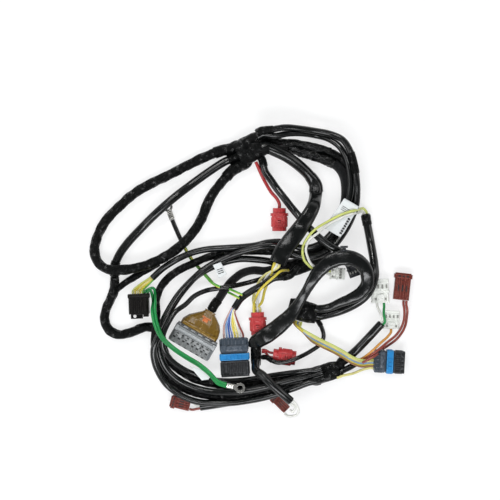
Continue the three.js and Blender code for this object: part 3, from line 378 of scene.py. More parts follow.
@dataclass
class Palette:
    """Makes the harness's materials, each once."""

    made: dict[str, bpy.types.Material] = field(default_factory=dict)
    effects: dict[str, Effect] = field(default_factory=dict)

    def __post_init__(self) -> None:
        """Makes the shared effects."""
        self.effects = {
            "tape": tape_effect(),
            "weave": weave_effect(),
            "drawn": drawn_effect(),
            "moulded": moulded_effect(),
        }

    def start(self, name: str) -> tuple[bpy.types.Material, Graph, bpy.types.Node]:
        """Makes a material with one Principled shader.

        Args:
            name: The material's name.

        Returns:
            The material, its graph and its shader node.
        """
        material = bpy.data.materials.new(name)
        material.use_nodes = True
        self.made[name] = material
        return material, Graph(material.node_tree), material.node_tree.nodes["Principled BSDF"]

    def coordinates(self, graph: Graph) -> tuple[bpy.types.NodeSocket, bpy.types.NodeSocket]:
        """Gives a cord's lay coordinates and the place in the object."""
        node = graph.add("TexCoord")
        return node.outputs["UV"], node.outputs["Object"]

    def wire_up(self, graph: Graph, shader: bpy.types.Node, **inputs) -> None:
        """Sets or links the Principled shader's inputs, with spaces for underscores."""
        for name, value in inputs.items():
            graph.put(shader.inputs[name.replace("_", " ")], value)

    def sheath(self) -> bpy.types.Material:
        """Gives the satin black plastic of the sheaths."""
        if "sheath_pvc" in self.made:
            return self.made["sheath_pvc"]
        material, g, shader = self.start("sheath_pvc")
        lay, place = self.coordinates(g)
        skin = self.effects["drawn"].use(g, Lay=lay, Place=place)
        base = g.mix(skin["Streak"], srgb(3, 4, 4), srgb(13, 16, 16))
        rough = g.plus(g.times(skin["Dull"], 0.1), 0.17)
        self.wire_up(
            g, shader, Base_Color=base, Roughness=rough, Normal=skin["Normal"], Specular_IOR_Level=0.5
        )
        return material

    def tape(self, loose: bool = False) -> bpy.types.Material:
        """Gives black tape wound in a spiral.

        Args:
            loose: Whether it is slack and shiny.

        Returns:
            The material.
        """
        name = "tape_loose" if loose else "tape_black"
        if name in self.made:
            return self.made[name]
        material, g, shader = self.start(name)
        lay, place = self.coordinates(g)
        wrap = self.effects["tape"].use(g, Lay=lay, Place=place, Turns=TAPE_TURNS)
        base = g.mix(wrap["Rub"], srgb(3, 4, 4), srgb(10, 12, 12))
        # Painted highlight: the lap edges are painted lighter, as if they caught the light.
        base = g.mix(g.times(wrap["Edge"], 0.4), base, srgb(18, 20, 22))
        dull = 0.26 if loose else 0.4
        rough = g.math("SUBTRACT", dull, g.times(wrap["Rub"], 0.6 * dull))
        gloss = g.plus(g.times(wrap["Rub"], 0.45), 0.3 if loose else 0.12)
        self.wire_up(
            g, shader, Base_Color=base, Roughness=rough, Normal=wrap["Normal"], Specular_IOR_Level=gloss
        )
        return material

    def braid(self) -> bpy.types.Material:
        """Gives a dull black braided sleeve."""
        if "braid_black" in self.made:
            return self.made["braid_black"]
        material, g, shader = self.start("braid_black")
        lay, place = self.coordinates(g)
        weave = self.effects["weave"].use(g, Lay=lay, Place=place)
        # Painted shade: the strands are painted lighter at their crowns and darker where they part and
        # cross.
        base = g.mix(weave["Strand"], srgb(4, 4, 5), srgb(22, 23, 26))
        base = g.mix(g.times(weave["Rub"], 0.4), base, srgb(60, 62, 66))
        self.wire_up(
            g, shader, Base_Color=base, Roughness=0.48, Normal=weave["Normal"],
            Specular_IOR_Level=0.26, Sheen_Weight=0.04, Sheen_Roughness=0.5,
        )
        return material

    def wire(self, name: str, tint: Colour, stripe: Colour | None = None) -> bpy.types.Material:
        """Gives a wire's glossy insulation.

        Args:
            name: The material's name.
            tint: The insulation's colour.
            stripe: The colour of a stripe along it, or None.

        Returns:
            The material.
        """
        if name in self.made:
            return self.made[name]
        material, g, shader = self.start(name)
        lay, place = self.coordinates(g)
        skin = self.effects["drawn"].use(g, Lay=lay, Place=place)
        deeper = g.mix(0.28, tint, (0.0, 0.0, 0.0, 1.0), "MULTIPLY")
        base = g.mix(skin["Dull"], tint, deeper)
        if stripe is not None:
            parts = g.add("SeparateXYZ", {0: lay}).outputs
            turned = g.plus(parts[0], g.times(parts[1], 9.0))
            band = g.remap(g.math("PINGPONG", turned, 0.5), 0.39, 0.41)
            base = g.mix(band, base, stripe)
        rough = g.plus(g.times(skin["Dull"], 0.12), 0.3)
        self.wire_up(
            g, shader, Base_Color=base, Roughness=rough, Normal=skin["Normal"],
            Subsurface_Weight=0.08, Subsurface_Radius=(0.001, 0.001, 0.001),
        )
        return material

    def plastic(
        self,
        name: str,
        tint: Colour,
        worn: Colour,
        rough: float = 0.42,
        clear: float = 0.0,
        gloss: float = 0.5,
    ) -> bpy.types.Material:
        """Gives moulded plastic.

        Args:
            name: The material's name.
            tint: Its colour.
            worn: The colour of its worn edges.
            rough: Its roughness.
            clear: How much light goes through it, from 0 to 1.
            gloss: The Principled shader's specular level.

        Returns:
            The material.
        """
        if name in self.made:
            return self.made[name]
        material, g, shader = self.start(name)
        _, place = self.coordinates(g)
        skin = self.effects["moulded"].use(g, Place=place)
        deeper = g.mix(0.3, tint, (0.0, 0.0, 0.0, 1.0), "MULTIPLY")
        base = g.mix(g.remap(skin["Mottle"], 0.3, 0.7), deeper, tint)
        base = g.mix(g.times(skin["Wear"], 0.7), base, worn)
        dusty = 0.01 + 0.09 * max(tint[:3])
        base = g.mix(g.times(skin["Dust"], dusty), base, srgb(190, 186, 176))
        roughness = g.plus(g.times(skin["Mottle"], 0.14), rough - 0.07)
        self.wire_up(
            g, shader, Base_Color=base, Roughness=roughness, Normal=skin["Normal"],
            Transmission_Weight=clear, Specular_IOR_Level=gloss,
        )
        return material

    def metal(self) -> bpy.types.Material:
        """Gives tinned copper."""
        if "tinned" in self.made:
            return self.made["tinned"]
        material, g, shader = self.start("tinned")
        _, place = self.coordinates(g)
        skin = self.effects["moulded"].use(g, Place=place)
        base = g.mix(skin["Mottle"], srgb(158, 156, 150), srgb(206, 206, 202))
        rough = g.plus(g.times(skin["Dust"], 0.2), 0.26)
        self.wire_up(g, shader, Base_Color=base, Roughness=rough, Normal=skin["Normal"], Metallic=1.0)
        return material

    def paper(self) -> bpy.types.Material:
        """Gives a coated white label."""
        if "label" in self.made:
            return self.made["label"]
        material, g, shader = self.start("label")
        _, place = self.coordinates(g)
        fibre = g.noise(place, 900.0, 4.0)
        base = g.mix(fibre, srgb(206, 210, 210), srgb(226, 229, 229))
        normal = g.bump(fibre, 0.12, 0.0003)
        self.wire_up(g, shader, Base_Color=base, Roughness=0.4, Normal=normal)
        return material


# Meshes


def show(
    name: str,
    mesh: bpy.types.Mesh,
    material: bpy.types.Material,
    sharp: float = ROUND_EDGES,
) -> bpy.types.Object:
    """Puts a mesh in the scene, riding on the harness.

    Args:
        name: The piece's name.
        mesh: Its mesh, in metres of the frame.
        material: Its material.
        sharp: The angle in degrees above which an edge stays sharp.

    Returns:
        The new piece.
    """
    mesh.materials.append(material)
    mesh.shade_smooth()
    mesh.set_sharp_from_angle(angle=math.radians(sharp))
    piece = bpy.data.objects.new(name, mesh)
    bpy.context.scene.collection.objects.link(piece)
    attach(piece, "root")
    log.info("%s: %d faces", name, len(mesh.polygons))
    return piece


def on_table(points: Sequence[Point] | np.ndarray) -> np.ndarray:
    """Turns board millimetres into metres of the frame."""
    board = np.asarray(points, float)
    return np.column_stack([board[:, 0] - BOARD_X, BOARD_Y - board[:, 1]]) * MM


def even(points: np.ndarray, step: float) -> np.ndarray:
    """Spaces points evenly along the line through them."""
    spans = np.linalg.norm(np.diff(points, axis=0), axis=1)
    along = np.concatenate([[0.0], np.cumsum(spans)])
    count = max(3, round(along[-1] / step) + 1)
    wanted = np.linspace(0.0, along[-1], count)
    return np.column_stack([np.interp(wanted, along, points[:, k]) for k in range(points.shape[1])])


def smooth_curve(points: np.ndarray, step: float) -> np.ndarray:
    """Runs a centripetal Catmull-Rom curve through the points.

    Args:
        points: Points in metres, in plan or in space.
        step: The spacing of the points wanted.

    Returns:
        Evenly spaced points of the curve.
    """
    whole = np.vstack([2 * points[0] - points[1], points, 2 * points[-1] - points[-2]])
    fine = [points[0]]
    for p0, p1, p2, p3 in zip(whole, whole[1:], whole[2:], whole[3:]):
        d0, d1, d2 = (math.sqrt(max(np.linalg.norm(b - a), 1e-7)) for a, b in ((p0, p1), (p1, p2), (p2, p3)))
        m1 = ((p1 - p0) / d0 - (p2 - p0) / (d0 + d1) + (p2 - p1) / d1) * d1
        m2 = ((p2 - p1) / d1 - (p3 - p1) / (d1 + d2) + (p3 - p2) / d2) * d1
        for t in np.linspace(0.0, 1.0, 25)[1:]:
            a = 2 * t**3 - 3 * t**2 + 1
            b = t**3 - 2 * t**2 + t
            c = 3 * t**2 - 2 * t**3
            fine.append(a * p1 + b * m1 + c * p2 + (t**3 - t**2) * m2)
    return even(np.array(fine), step)


@dataclass
class Felt:
    """A CAD solid, or several, whose height is felt by rays from above."""

    tree: BVHTree

    @classmethod
    def of(cls, nodes: Sequence[bpy.types.Object]) -> "Felt":
        """Takes the solids of these CAD nodes."""
        corners: list[Vector] = []
        faces: list[tuple[int, ...]] = []
        for node in nodes:
            first = len(corners)
            corners.extend(v.co.copy() for v in node.data.vertices)
            faces.extend(tuple(first + i for i in p.vertices) for p in node.data.polygons)
        return cls(BVHTree.FromPolygons(corners, faces))

    def spans(self, x: float, y: float) -> list[tuple[float, float]]:
        """Gives the solid stretches above a place, as pairs of heights, from the top down."""
        heights = []
        start = Vector((x, y, RAY_START))
        while len(heights) < MOST_HITS:
            hit = self.tree.ray_cast(start, Vector((0, 0, -1)))[0]
            if hit is None:
                break
            heights.append(hit.z)
            start = Vector((x, y, hit.z - RAY_STEP))
        return list(zip(heights[::2], heights[1::2]))

    def middle(self, x: float, y: float, near: float) -> float | None:
        """Gives the middle of the solid stretch nearest this height, or None beside the solid."""
        middles = [(top + bottom) / 2 for top, bottom in self.spans(x, y)]
        return min(middles, key=lambda z: abs(z - near)) if middles else None

    def beside(self, x: float, y: float, near: float) -> float:
        """Gives the height of the surface nearest this point."""
        found = self.tree.find_nearest(Vector((x, y, near)))[0]
        return near if found is None else found.z

    def top(self, x: float, y: float, radius: float) -> float:
        """Gives the highest point under a disc, or the table."""
        tops = [0.0]
        for dx, dy in ((0, 0), (radius, 0), (-radius, 0), (0, radius), (0, -radius)):
            start = Vector((x + dx, y + dy, RAY_START))
            hit = self.tree.ray_cast(start, Vector((0, 0, -1)))[0]
            if hit is not None:
                tops.append(hit.z)
        return max(tops)


@dataclass
class Line:
    """The middle line of a cord, with level frames."""

    points: np.ndarray

    @property
    def length(self) -> float:
        """The line's length in metres."""
        return float(np.linalg.norm(np.diff(self.points, axis=0), axis=1).sum())

    @property
    def along(self) -> np.ndarray:
        """The distance of each point from the start."""
        return np.concatenate([[0.0], np.cumsum(np.linalg.norm(np.diff(self.points, axis=0), axis=1))])

    def frames(self) -> tuple[np.ndarray, np.ndarray]:
        """Gives the level direction across the line and the one square to both."""
        ahead = np.gradient(self.points, axis=0)
        ahead /= np.linalg.norm(ahead, axis=1)[:, None]
        across = np.column_stack([-ahead[:, 1], ahead[:, 0], np.zeros(len(ahead))])
        across /= np.linalg.norm(across, axis=1)[:, None]
        return across, np.cross(ahead, across)

    def part(self, start: float, end: float) -> "Line":
        """Gives the stretch between two distances in metres; a negative one counts from the end."""
        along = self.along
        low, high = (v if v >= 0 else along[-1] + v for v in (start, end))
        return Line(self.points[(along >= low) & (along <= high)])


def ring_angles(sides: int) -> np.ndarray:
    """Gives the angles of the points of one ring round a cord."""
    return 2 * math.pi * (np.arange(sides) + 0.5) / sides


def laps(along: np.ndarray, angle: np.ndarray, turns: float) -> np.ndarray:
    """Gives how far wound tape has risen over its last turn, from 0 to 1, over a cord's surface."""
    return (along[:, None] * turns + angle[None, :] / (2 * math.pi)) % 1.0


def ripple(
    along: np.ndarray, angle: np.ndarray, waves: int, finest: float, rng: np.random.Generator
) -> np.ndarray:
    """Gives smooth random bumps, about one high, over a cord's surface.

    Args:
        along: The distance of each ring from the cord's start, in metres.
        angle: The angles of a ring's points.
        waves: How many waves are added up.
        finest: The shortest wave in metres.
        rng: The random numbers for the waves.

    Returns:
        The bump at each ring and angle.
    """
    total = np.zeros((len(along), len(angle)))
    for _ in range(waves):
        pitch = finest * rng.uniform(1.0, 5.0)
        turns = rng.integers(0, 5)
        start = rng.uniform(0, 2 * math.pi)
        total += np.sin(along[:, None] / pitch * 2 * math.pi + turns * angle[None, :] + start)
    return total / math.sqrt(waves)


def tube_mesh(
    name: str,
    line: Line,
    radius: np.ndarray,
    flat: float | np.ndarray = 0.0,
    hollow: tuple[bool, bool] = (False, False),
) -> bpy.types.Mesh:
    """Sweeps a round or flat section along a line.

    Args:
        name: The mesh's name.
        line: The middle line.
        radius: The radius at each ring and angle, in metres.
        flat: Half the width of the flats between the half circles.
        hollow: Whether the start and the end show an open bore.

    Returns:
        The mesh, with a UV of the turn round the cord and the metres along it.
    """
    rings, sides = radius.shape
    across, up = line.frames()
    angle = ring_angles(sides)
    wide = radius * np.cos(angle) + np.sign(np.cos(angle)) * np.reshape(flat, (-1, 1))
    high = radius * np.sin(angle)
    centre = line.points[:, None, :]
    skin = centre + across[:, None, :] * wide[:, :, None] + up[:, None, :] * high[:, :, None]
    corners = [skin.reshape(-1, 3)]
    faces: list[tuple[int, ...]] = []
    turns: list[tuple[float, float]] = []
    along = line.along

    def strip(first: int, second: int, low: float, high_end: float) -> None:
        """Joins two rings of points with faces."""
        for j in range(sides):
            k = (j + 1) % sides
            faces.append((first + j, first + k, second + k, second + j))
            u, v = j / sides, (j + 1) / sides
            turns.extend([(u, low), (v, low), (v, high_end), (u, high_end)])

    for i in range(rings - 1):
        strip(i * sides, (i + 1) * sides, along[i], along[i + 1])
    count = rings * sides
    for index, opened in ((0, hollow[0]), (rings - 1, hollow[1])):
        rim = index * sides
        middle = line.points[index]
        inward = line.points[1] - middle if index == 0 else line.points[-2] - middle
        inward = inward / np.linalg.norm(inward)
        if opened:
            for shrink, depth in ((0.8, 0.0), (0.76, 0.004)):
                ring = middle + (skin[index] - middle) * shrink + inward * depth
                corners.append(ring)
                first, second = (count, rim) if index == 0 else (rim, count)
                strip(first, second, along[index], along[index])
                rim = count
                count += sides
        corners.append((corners[-1][-sides:] if opened else skin[index]).mean(0)[None, :])
        for j in range(sides):
            k = (j + 1) % sides
            order = (rim + k, rim + j, count) if index == 0 else (rim + j, rim + k, count)
            faces.append(order)
            turns.extend([(j / sides, along[index])] * 3)
        count += 1
    mesh = bpy.data.meshes.new(name)
    mesh.from_pydata(np.vstack(corners).tolist(), [], faces)
    mesh.uv_layers.new(name="lay").data.foreach_set("uv", np.array(turns, float).ravel())
    return mesh


def box_mesh(
    name: str, boxes: Sequence[Box], rounds: Sequence[Box], chamfer: float, place: Matrix
) -> bpy.types.Mesh:
    """Makes one mesh of boxes and round bars with cut edges.

    Args:
        name: The mesh's name.
        boxes: Each box as x0, x1, y0, y1, z0, z1 in millimetres of the part's own frame.
        rounds: Each round bar as the box that it fills; its axis is the side that differs most.
        chamfer: The width of the cut edges in millimetres.
        place: Where the part's own frame lies.

    Returns:
        The mesh.
    """
    built = bmesh.new()
    for x0, x1, y0, y1, z0, z1 in boxes:
        size = Vector((x1 - x0, y1 - y0, z1 - z0))
        cube = bmesh.ops.create_cube(built, size=1.0)["verts"]
        bmesh.ops.scale(built, vec=size, verts=cube)
        bmesh.ops.translate(built, vec=((x0 + x1) / 2, (y0 + y1) / 2, (z0 + z1) / 2), verts=cube)
        edges = list({edge for vert in cube for edge in vert.link_edges})
        width = min(chamfer, 0.3 * min(size))
        bmesh.ops.bevel(built, geom=edges, offset=width, segments=2, affect="EDGES", profile=0.5)
    for x0, x1, y0, y1, z0, z1 in rounds:
        sizes = [x1 - x0, y1 - y0, z1 - z0]
        odd = max(range(3), key=lambda k: sum(abs(sizes[k] - size) for size in sizes))
        turned = (Matrix.Rotation(math.pi / 2, 4, "Y"), Matrix.Rotation(math.pi / 2, 4, "X"), Matrix())[odd]
        across = sizes[(odd + 1) % 3]
        bar = bmesh.ops.create_cone(
            built, cap_ends=True, segments=24, radius1=across / 2, radius2=across / 2, depth=sizes[odd]
        )["verts"]
        middle = Matrix.Translation(((x0 + x1) / 2, (y0 + y1) / 2, (z0 + z1) / 2))
        bmesh.ops.transform(built, matrix=middle @ turned, verts=bar)
        rims = [e for e in {edge for vert in bar for edge in vert.link_edges} if len(e.link_faces) == 2]
        rims = [e for e in rims if e.calc_face_angle() > 1.0]
        width = min(chamfer, 0.2 * across, 0.3 * sizes[odd])
        bmesh.ops.bevel(built, geom=rims, offset=width, segments=2, affect="EDGES", profile=0.5)
    bmesh.ops.transform(built, matrix=place @ Matrix.Scale(MM, 4), verts=built.verts)
    bmesh.ops.recalc_face_normals(built, faces=built.faces)
    mesh = bpy.data.meshes.new(name)
    built.to_mesh(mesh)
    built.free()
    return mesh


# Where things lie


def placed(place: Sequence[float], turn: float) -> Matrix:
    """Gives the frame at a place in metres, turned about the vertical by an angle in radians."""
    return Matrix.Translation(place) @ Matrix.Rotation(turn, 4, "Z")


@dataclass(frozen=True)
class Pose:
    """Where a piece lies on the board, and the CAD node that gives its height."""

    x: float
    y: float
    turn: float
    node: str

    def matrix(self) -> Matrix:
        """Gives the piece's own frame, standing on the lowest point of its node."""
        plan = on_table([(self.x, self.y)])[0]
        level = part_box(self.node)[0].z
        return placed((plan[0], plan[1], level), math.radians(self.turn))


POSES = {
    "ring_upper": Pose(171.6, 219.2, 110, "ring_terminal_upper"),
    "ring_lower": Pose(227, 383.5, -12, "ring_terminal_lower"),
    "relay": Pose(138.5, 294, -88, "relay_holder"),
    "unit": Pose(193, 341, 240, "unit_connector_body"),
    "front": Pose(233.6, 338.5, -87, "front_connector_cap"),
    "side": Pose(374.5, 361, -3, "side_connector_cap"),
    "red_upper": Pose(279.5, 208, -90, "red_connector_upper"),
    "red_middle": Pose(257.5, 312.5, -88, "red_connector_middle"),
    "red_lower": Pose(273, 355.5, -8, "red_connector_lower"),
    "maroon_right": Pose(401.5, 300, 84, "maroon_connector_right"),
    "maroon_lower": Pose(287, 410.5, 135, "maroon_connector_lower"),
    "maroon_left": Pose(189.5, 406.5, 166, "maroon_connector_left"),
    "white_upper": Pose(381, 303, 92, "white_connector_upper"),
    "white_lower": Pose(391.5, 329, 88, "white_connector_lower"),
    "white_inner": Pose(330.5, 273, -4, "white_connector_inner"),
    "black": Pose(351, 262.5, -70, "black_connector"),
    "top_joint": Pose(251, 148, 25, "top_joint"),
    "centre_joint": Pose(303, 311, -15, "centre_joint"),
    "lower_joint": Pose(256, 353.5, -90, "lower_joint"),
    "right_joint": Pose(328.5, 372.5, 18, "right_joint"),
    "branch_joint": Pose(298, 266, 195, "branch_joint"),
}


@dataclass(frozen=True)
class End:
    """The end of a cord in plan: a board point, and the direction in which the cord leaves it."""

    x: float
    y: float
    dx: float
    dy: float

    def out(self, length: float) -> Point:
        """Gives the board point this far out."""
        return (self.x + self.dx * length, self.y + self.dy * length)


def port(name: str, x: float, y: float, facing: float | None = None) -> End:
    """Gives where a cord leaves a piece.

    Args:
        name: The piece's pose.
        x: The place along the piece in its own millimetres.
        y: The place across it.
        facing: The direction from the piece's own X axis in degrees, or None for the nearer face.

    Returns:
        The cord's end.
    """
    pose = POSES[name]
    turn = math.radians(pose.turn)
    face = turn + math.radians((0 if x > 0 else 180) if facing is None else facing)
    px = pose.x + x * math.cos(turn) - y * math.sin(turn)
    py = pose.y - x * math.sin(turn) - y * math.cos(turn)
    return End(px, py, math.cos(face), -math.sin(face))


def mouth(line: Line, at_end: bool, aside: float = 0.0) -> End:
    """Gives where a wire comes out of a cord's open end.

    Args:
        line: The cord's middle line.
        at_end: Whether it is the cord's end, or its start.
        aside: Millimetres off the cord's middle.

    Returns:
        The wire's end.
    """
    here, before = (line.points[-1], line.points[-9]) if at_end else (line.points[0], line.points[8])
    out = (here - before)[:2] / np.linalg.norm((here - before)[:2])
    x = here[0] - out[1] * aside * MM
    y = here[1] + out[0] * aside * MM
    return End(x / MM + BOARD_X, BOARD_Y - y / MM, out[0], -out[1])


@dataclass
class Cord:
    """A cord or a wire of the harness."""

    name: str
    nodes: tuple[str, ...]
    skin: Skin
    diameter: float
    start: End | None
    plan: Sequence[Point]
    end: End | None
    width: float | None = None
    widths: tuple[tuple[float, float], ...] = ()
    hollow: tuple[bool, bool] = (False, False)
    declared: bool = True
    far_end: str = "object"
    plug: tuple[str, ...] = ()
    slot: Slot | None = None
    material: bpy.types.Material | None = None
    stands_for_node: bool = True
    rest_on: Felt | None = None
    over: Felt | None = None
    lead: float | None = None
    line: Line = field(init=False)

    def route(self, frame: dict) -> Line:
        """Lays the middle line: the plan from its points, the heights from the CAD solid.

        Args:
            frame: The loaded frame.

        Returns:
            The line.
        """
        lead = 0.8 * self.diameter + 1 if self.lead is None else self.lead
        board = list(self.plan)
        if self.start:
            board = [self.start.out(BUTT), self.start.out(BUTT + lead), *board]
        if self.end:
            board = [*board, self.end.out(BUTT + lead), self.end.out(BUTT)]
        step = (WIRE_STEP if self.skin is Skin.WIRE else LOOM_STEP) * MM
        plan = smooth_curve(on_table(board), step)
        if self.rest_on is not None:
            radius = self.diameter * MM / 2
            tops = np.array([self.rest_on.top(x, y, radius) for x, y in plan]) + radius
            span = 7
            padded = np.pad(tops, span, mode="edge")
            heights = np.array([padded[i : i + 2 * span + 1].max() for i in range(len(tops))])
        else:
            heights = self.felt_heights(plan, Felt.of([frame["nodes"][n] for n in self.nodes]))
        if self.over is not None:
            radius = self.diameter * MM / 2
            tops = np.array([self.over.top(x, y, 0.002) for x, y in plan])
            heights = np.where(tops > 0, np.maximum(heights, tops + radius + SHEET_GAP), heights)
        self.line = Line(np.column_stack([plan, softened(heights, 4 if self.skin is Skin.WIRE else 6)]))
        return self.line

    def felt_heights(self, plan: np.ndarray, felt: Felt) -> np.ndarray:
        """Feels the CAD solid's middle height along the plan."""
        found = (felt.middle(x, y, FIRST_HEIGHT) for x, y in plan)
        first = next((height for height in found if height is not None), self.diameter * MM / 2)
        heights = []
        for x, y in plan:
            height = felt.middle(x, y, first)
            if height is None or abs(height - first) > HEIGHT_JUMP:
                height = felt.beside(x, y, first)
            heights.append(height)
            first = height
        return np.array(heights)

    def radii(self, sides: int, rng: np.random.Generator) -> np.ndarray:
        """Gives the radius at each ring and angle, with the lumps of what is inside."""
        along = self.line.along
        angle = ring_angles(sides)
        radius = np.full((len(along), sides), self.diameter * MM / 2)
        if self.skin is Skin.TAPED:
            lumps = 0.044 * ripple(along, angle, 7, 0.012, rng)
            lumps += 0.024 * ripple(along, angle, 8, 0.004, rng)
            radius *= 0.97 + lumps + 0.022 * laps(along, angle, TAPE_TURNS)
        elif self.skin is Skin.WOVEN:
            radius *= 0.97 + 0.03 * ripple(along, angle, 6, 0.014, rng)
        elif self.skin is Skin.SMOOTH:
            dents = 0.02 if self.width else 0.006
            radius *= 0.985 + dents * ripple(along, angle, 5, 0.04, rng)
            if self.slot is Slot.TAPE:
                ridges = np.abs(ripple(along, angle, 3, 0.022, rng))
                ridges += 0.6 * np.abs(ripple(along, angle, 4, 0.008, rng))
                radius *= 1.04 - 0.055 * ridges
        if self.skin is Skin.TAPED and self.width:
            radius *= 1 + 0.035 * ripple(along, angle, 5, 0.03, rng)
        return radius

    def build(self, palette: Palette, rng: np.random.Generator) -> bpy.types.Object:
        """Builds the cord, and hides the CAD parts that it stands for.

        Args:
            palette: The materials.
            rng: The random numbers for its lumps.

        Returns:
            The piece.
        """
        sides = {Skin.WIRE: 12, Skin.SMOOTH: 24}.get(self.skin, 32)
        flat: float | np.ndarray = 0.0 if self.width is None else (self.width - self.diameter) / 2 * MM
        if self.widths:
            share = self.line.along / self.line.length
            width = np.interp(share, *zip(*self.widths))
            flat = softened(np.maximum(width - self.diameter, 0.2) / 2 * MM, 12)
        mesh = tube_mesh(self.name, self.line, self.radii(sides, rng), flat, self.hollow)
        skins = {Skin.SMOOTH: palette.sheath, Skin.TAPED: palette.tape, Skin.WOVEN: palette.braid}
        material = self.material or skins[self.skin]()
        piece = show(self.name, mesh, material)
        if self.stands_for_node:
            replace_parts(piece, *self.nodes)
        return piece


def softened(values: np.ndarray, span: int) -> np.ndarray:
    """Takes the steps out of a row of heights and keeps both ends."""
    for _ in range(2):
        padded = np.concatenate([np.full(span, values[0]), values, np.full(span, values[-1])])
        kernel = np.hanning(2 * span + 3)[1:-1]
        values = np.convolve(padded, kernel / kernel.sum(), mode="valid")
    return values


# The looms, in the order in which they are laid


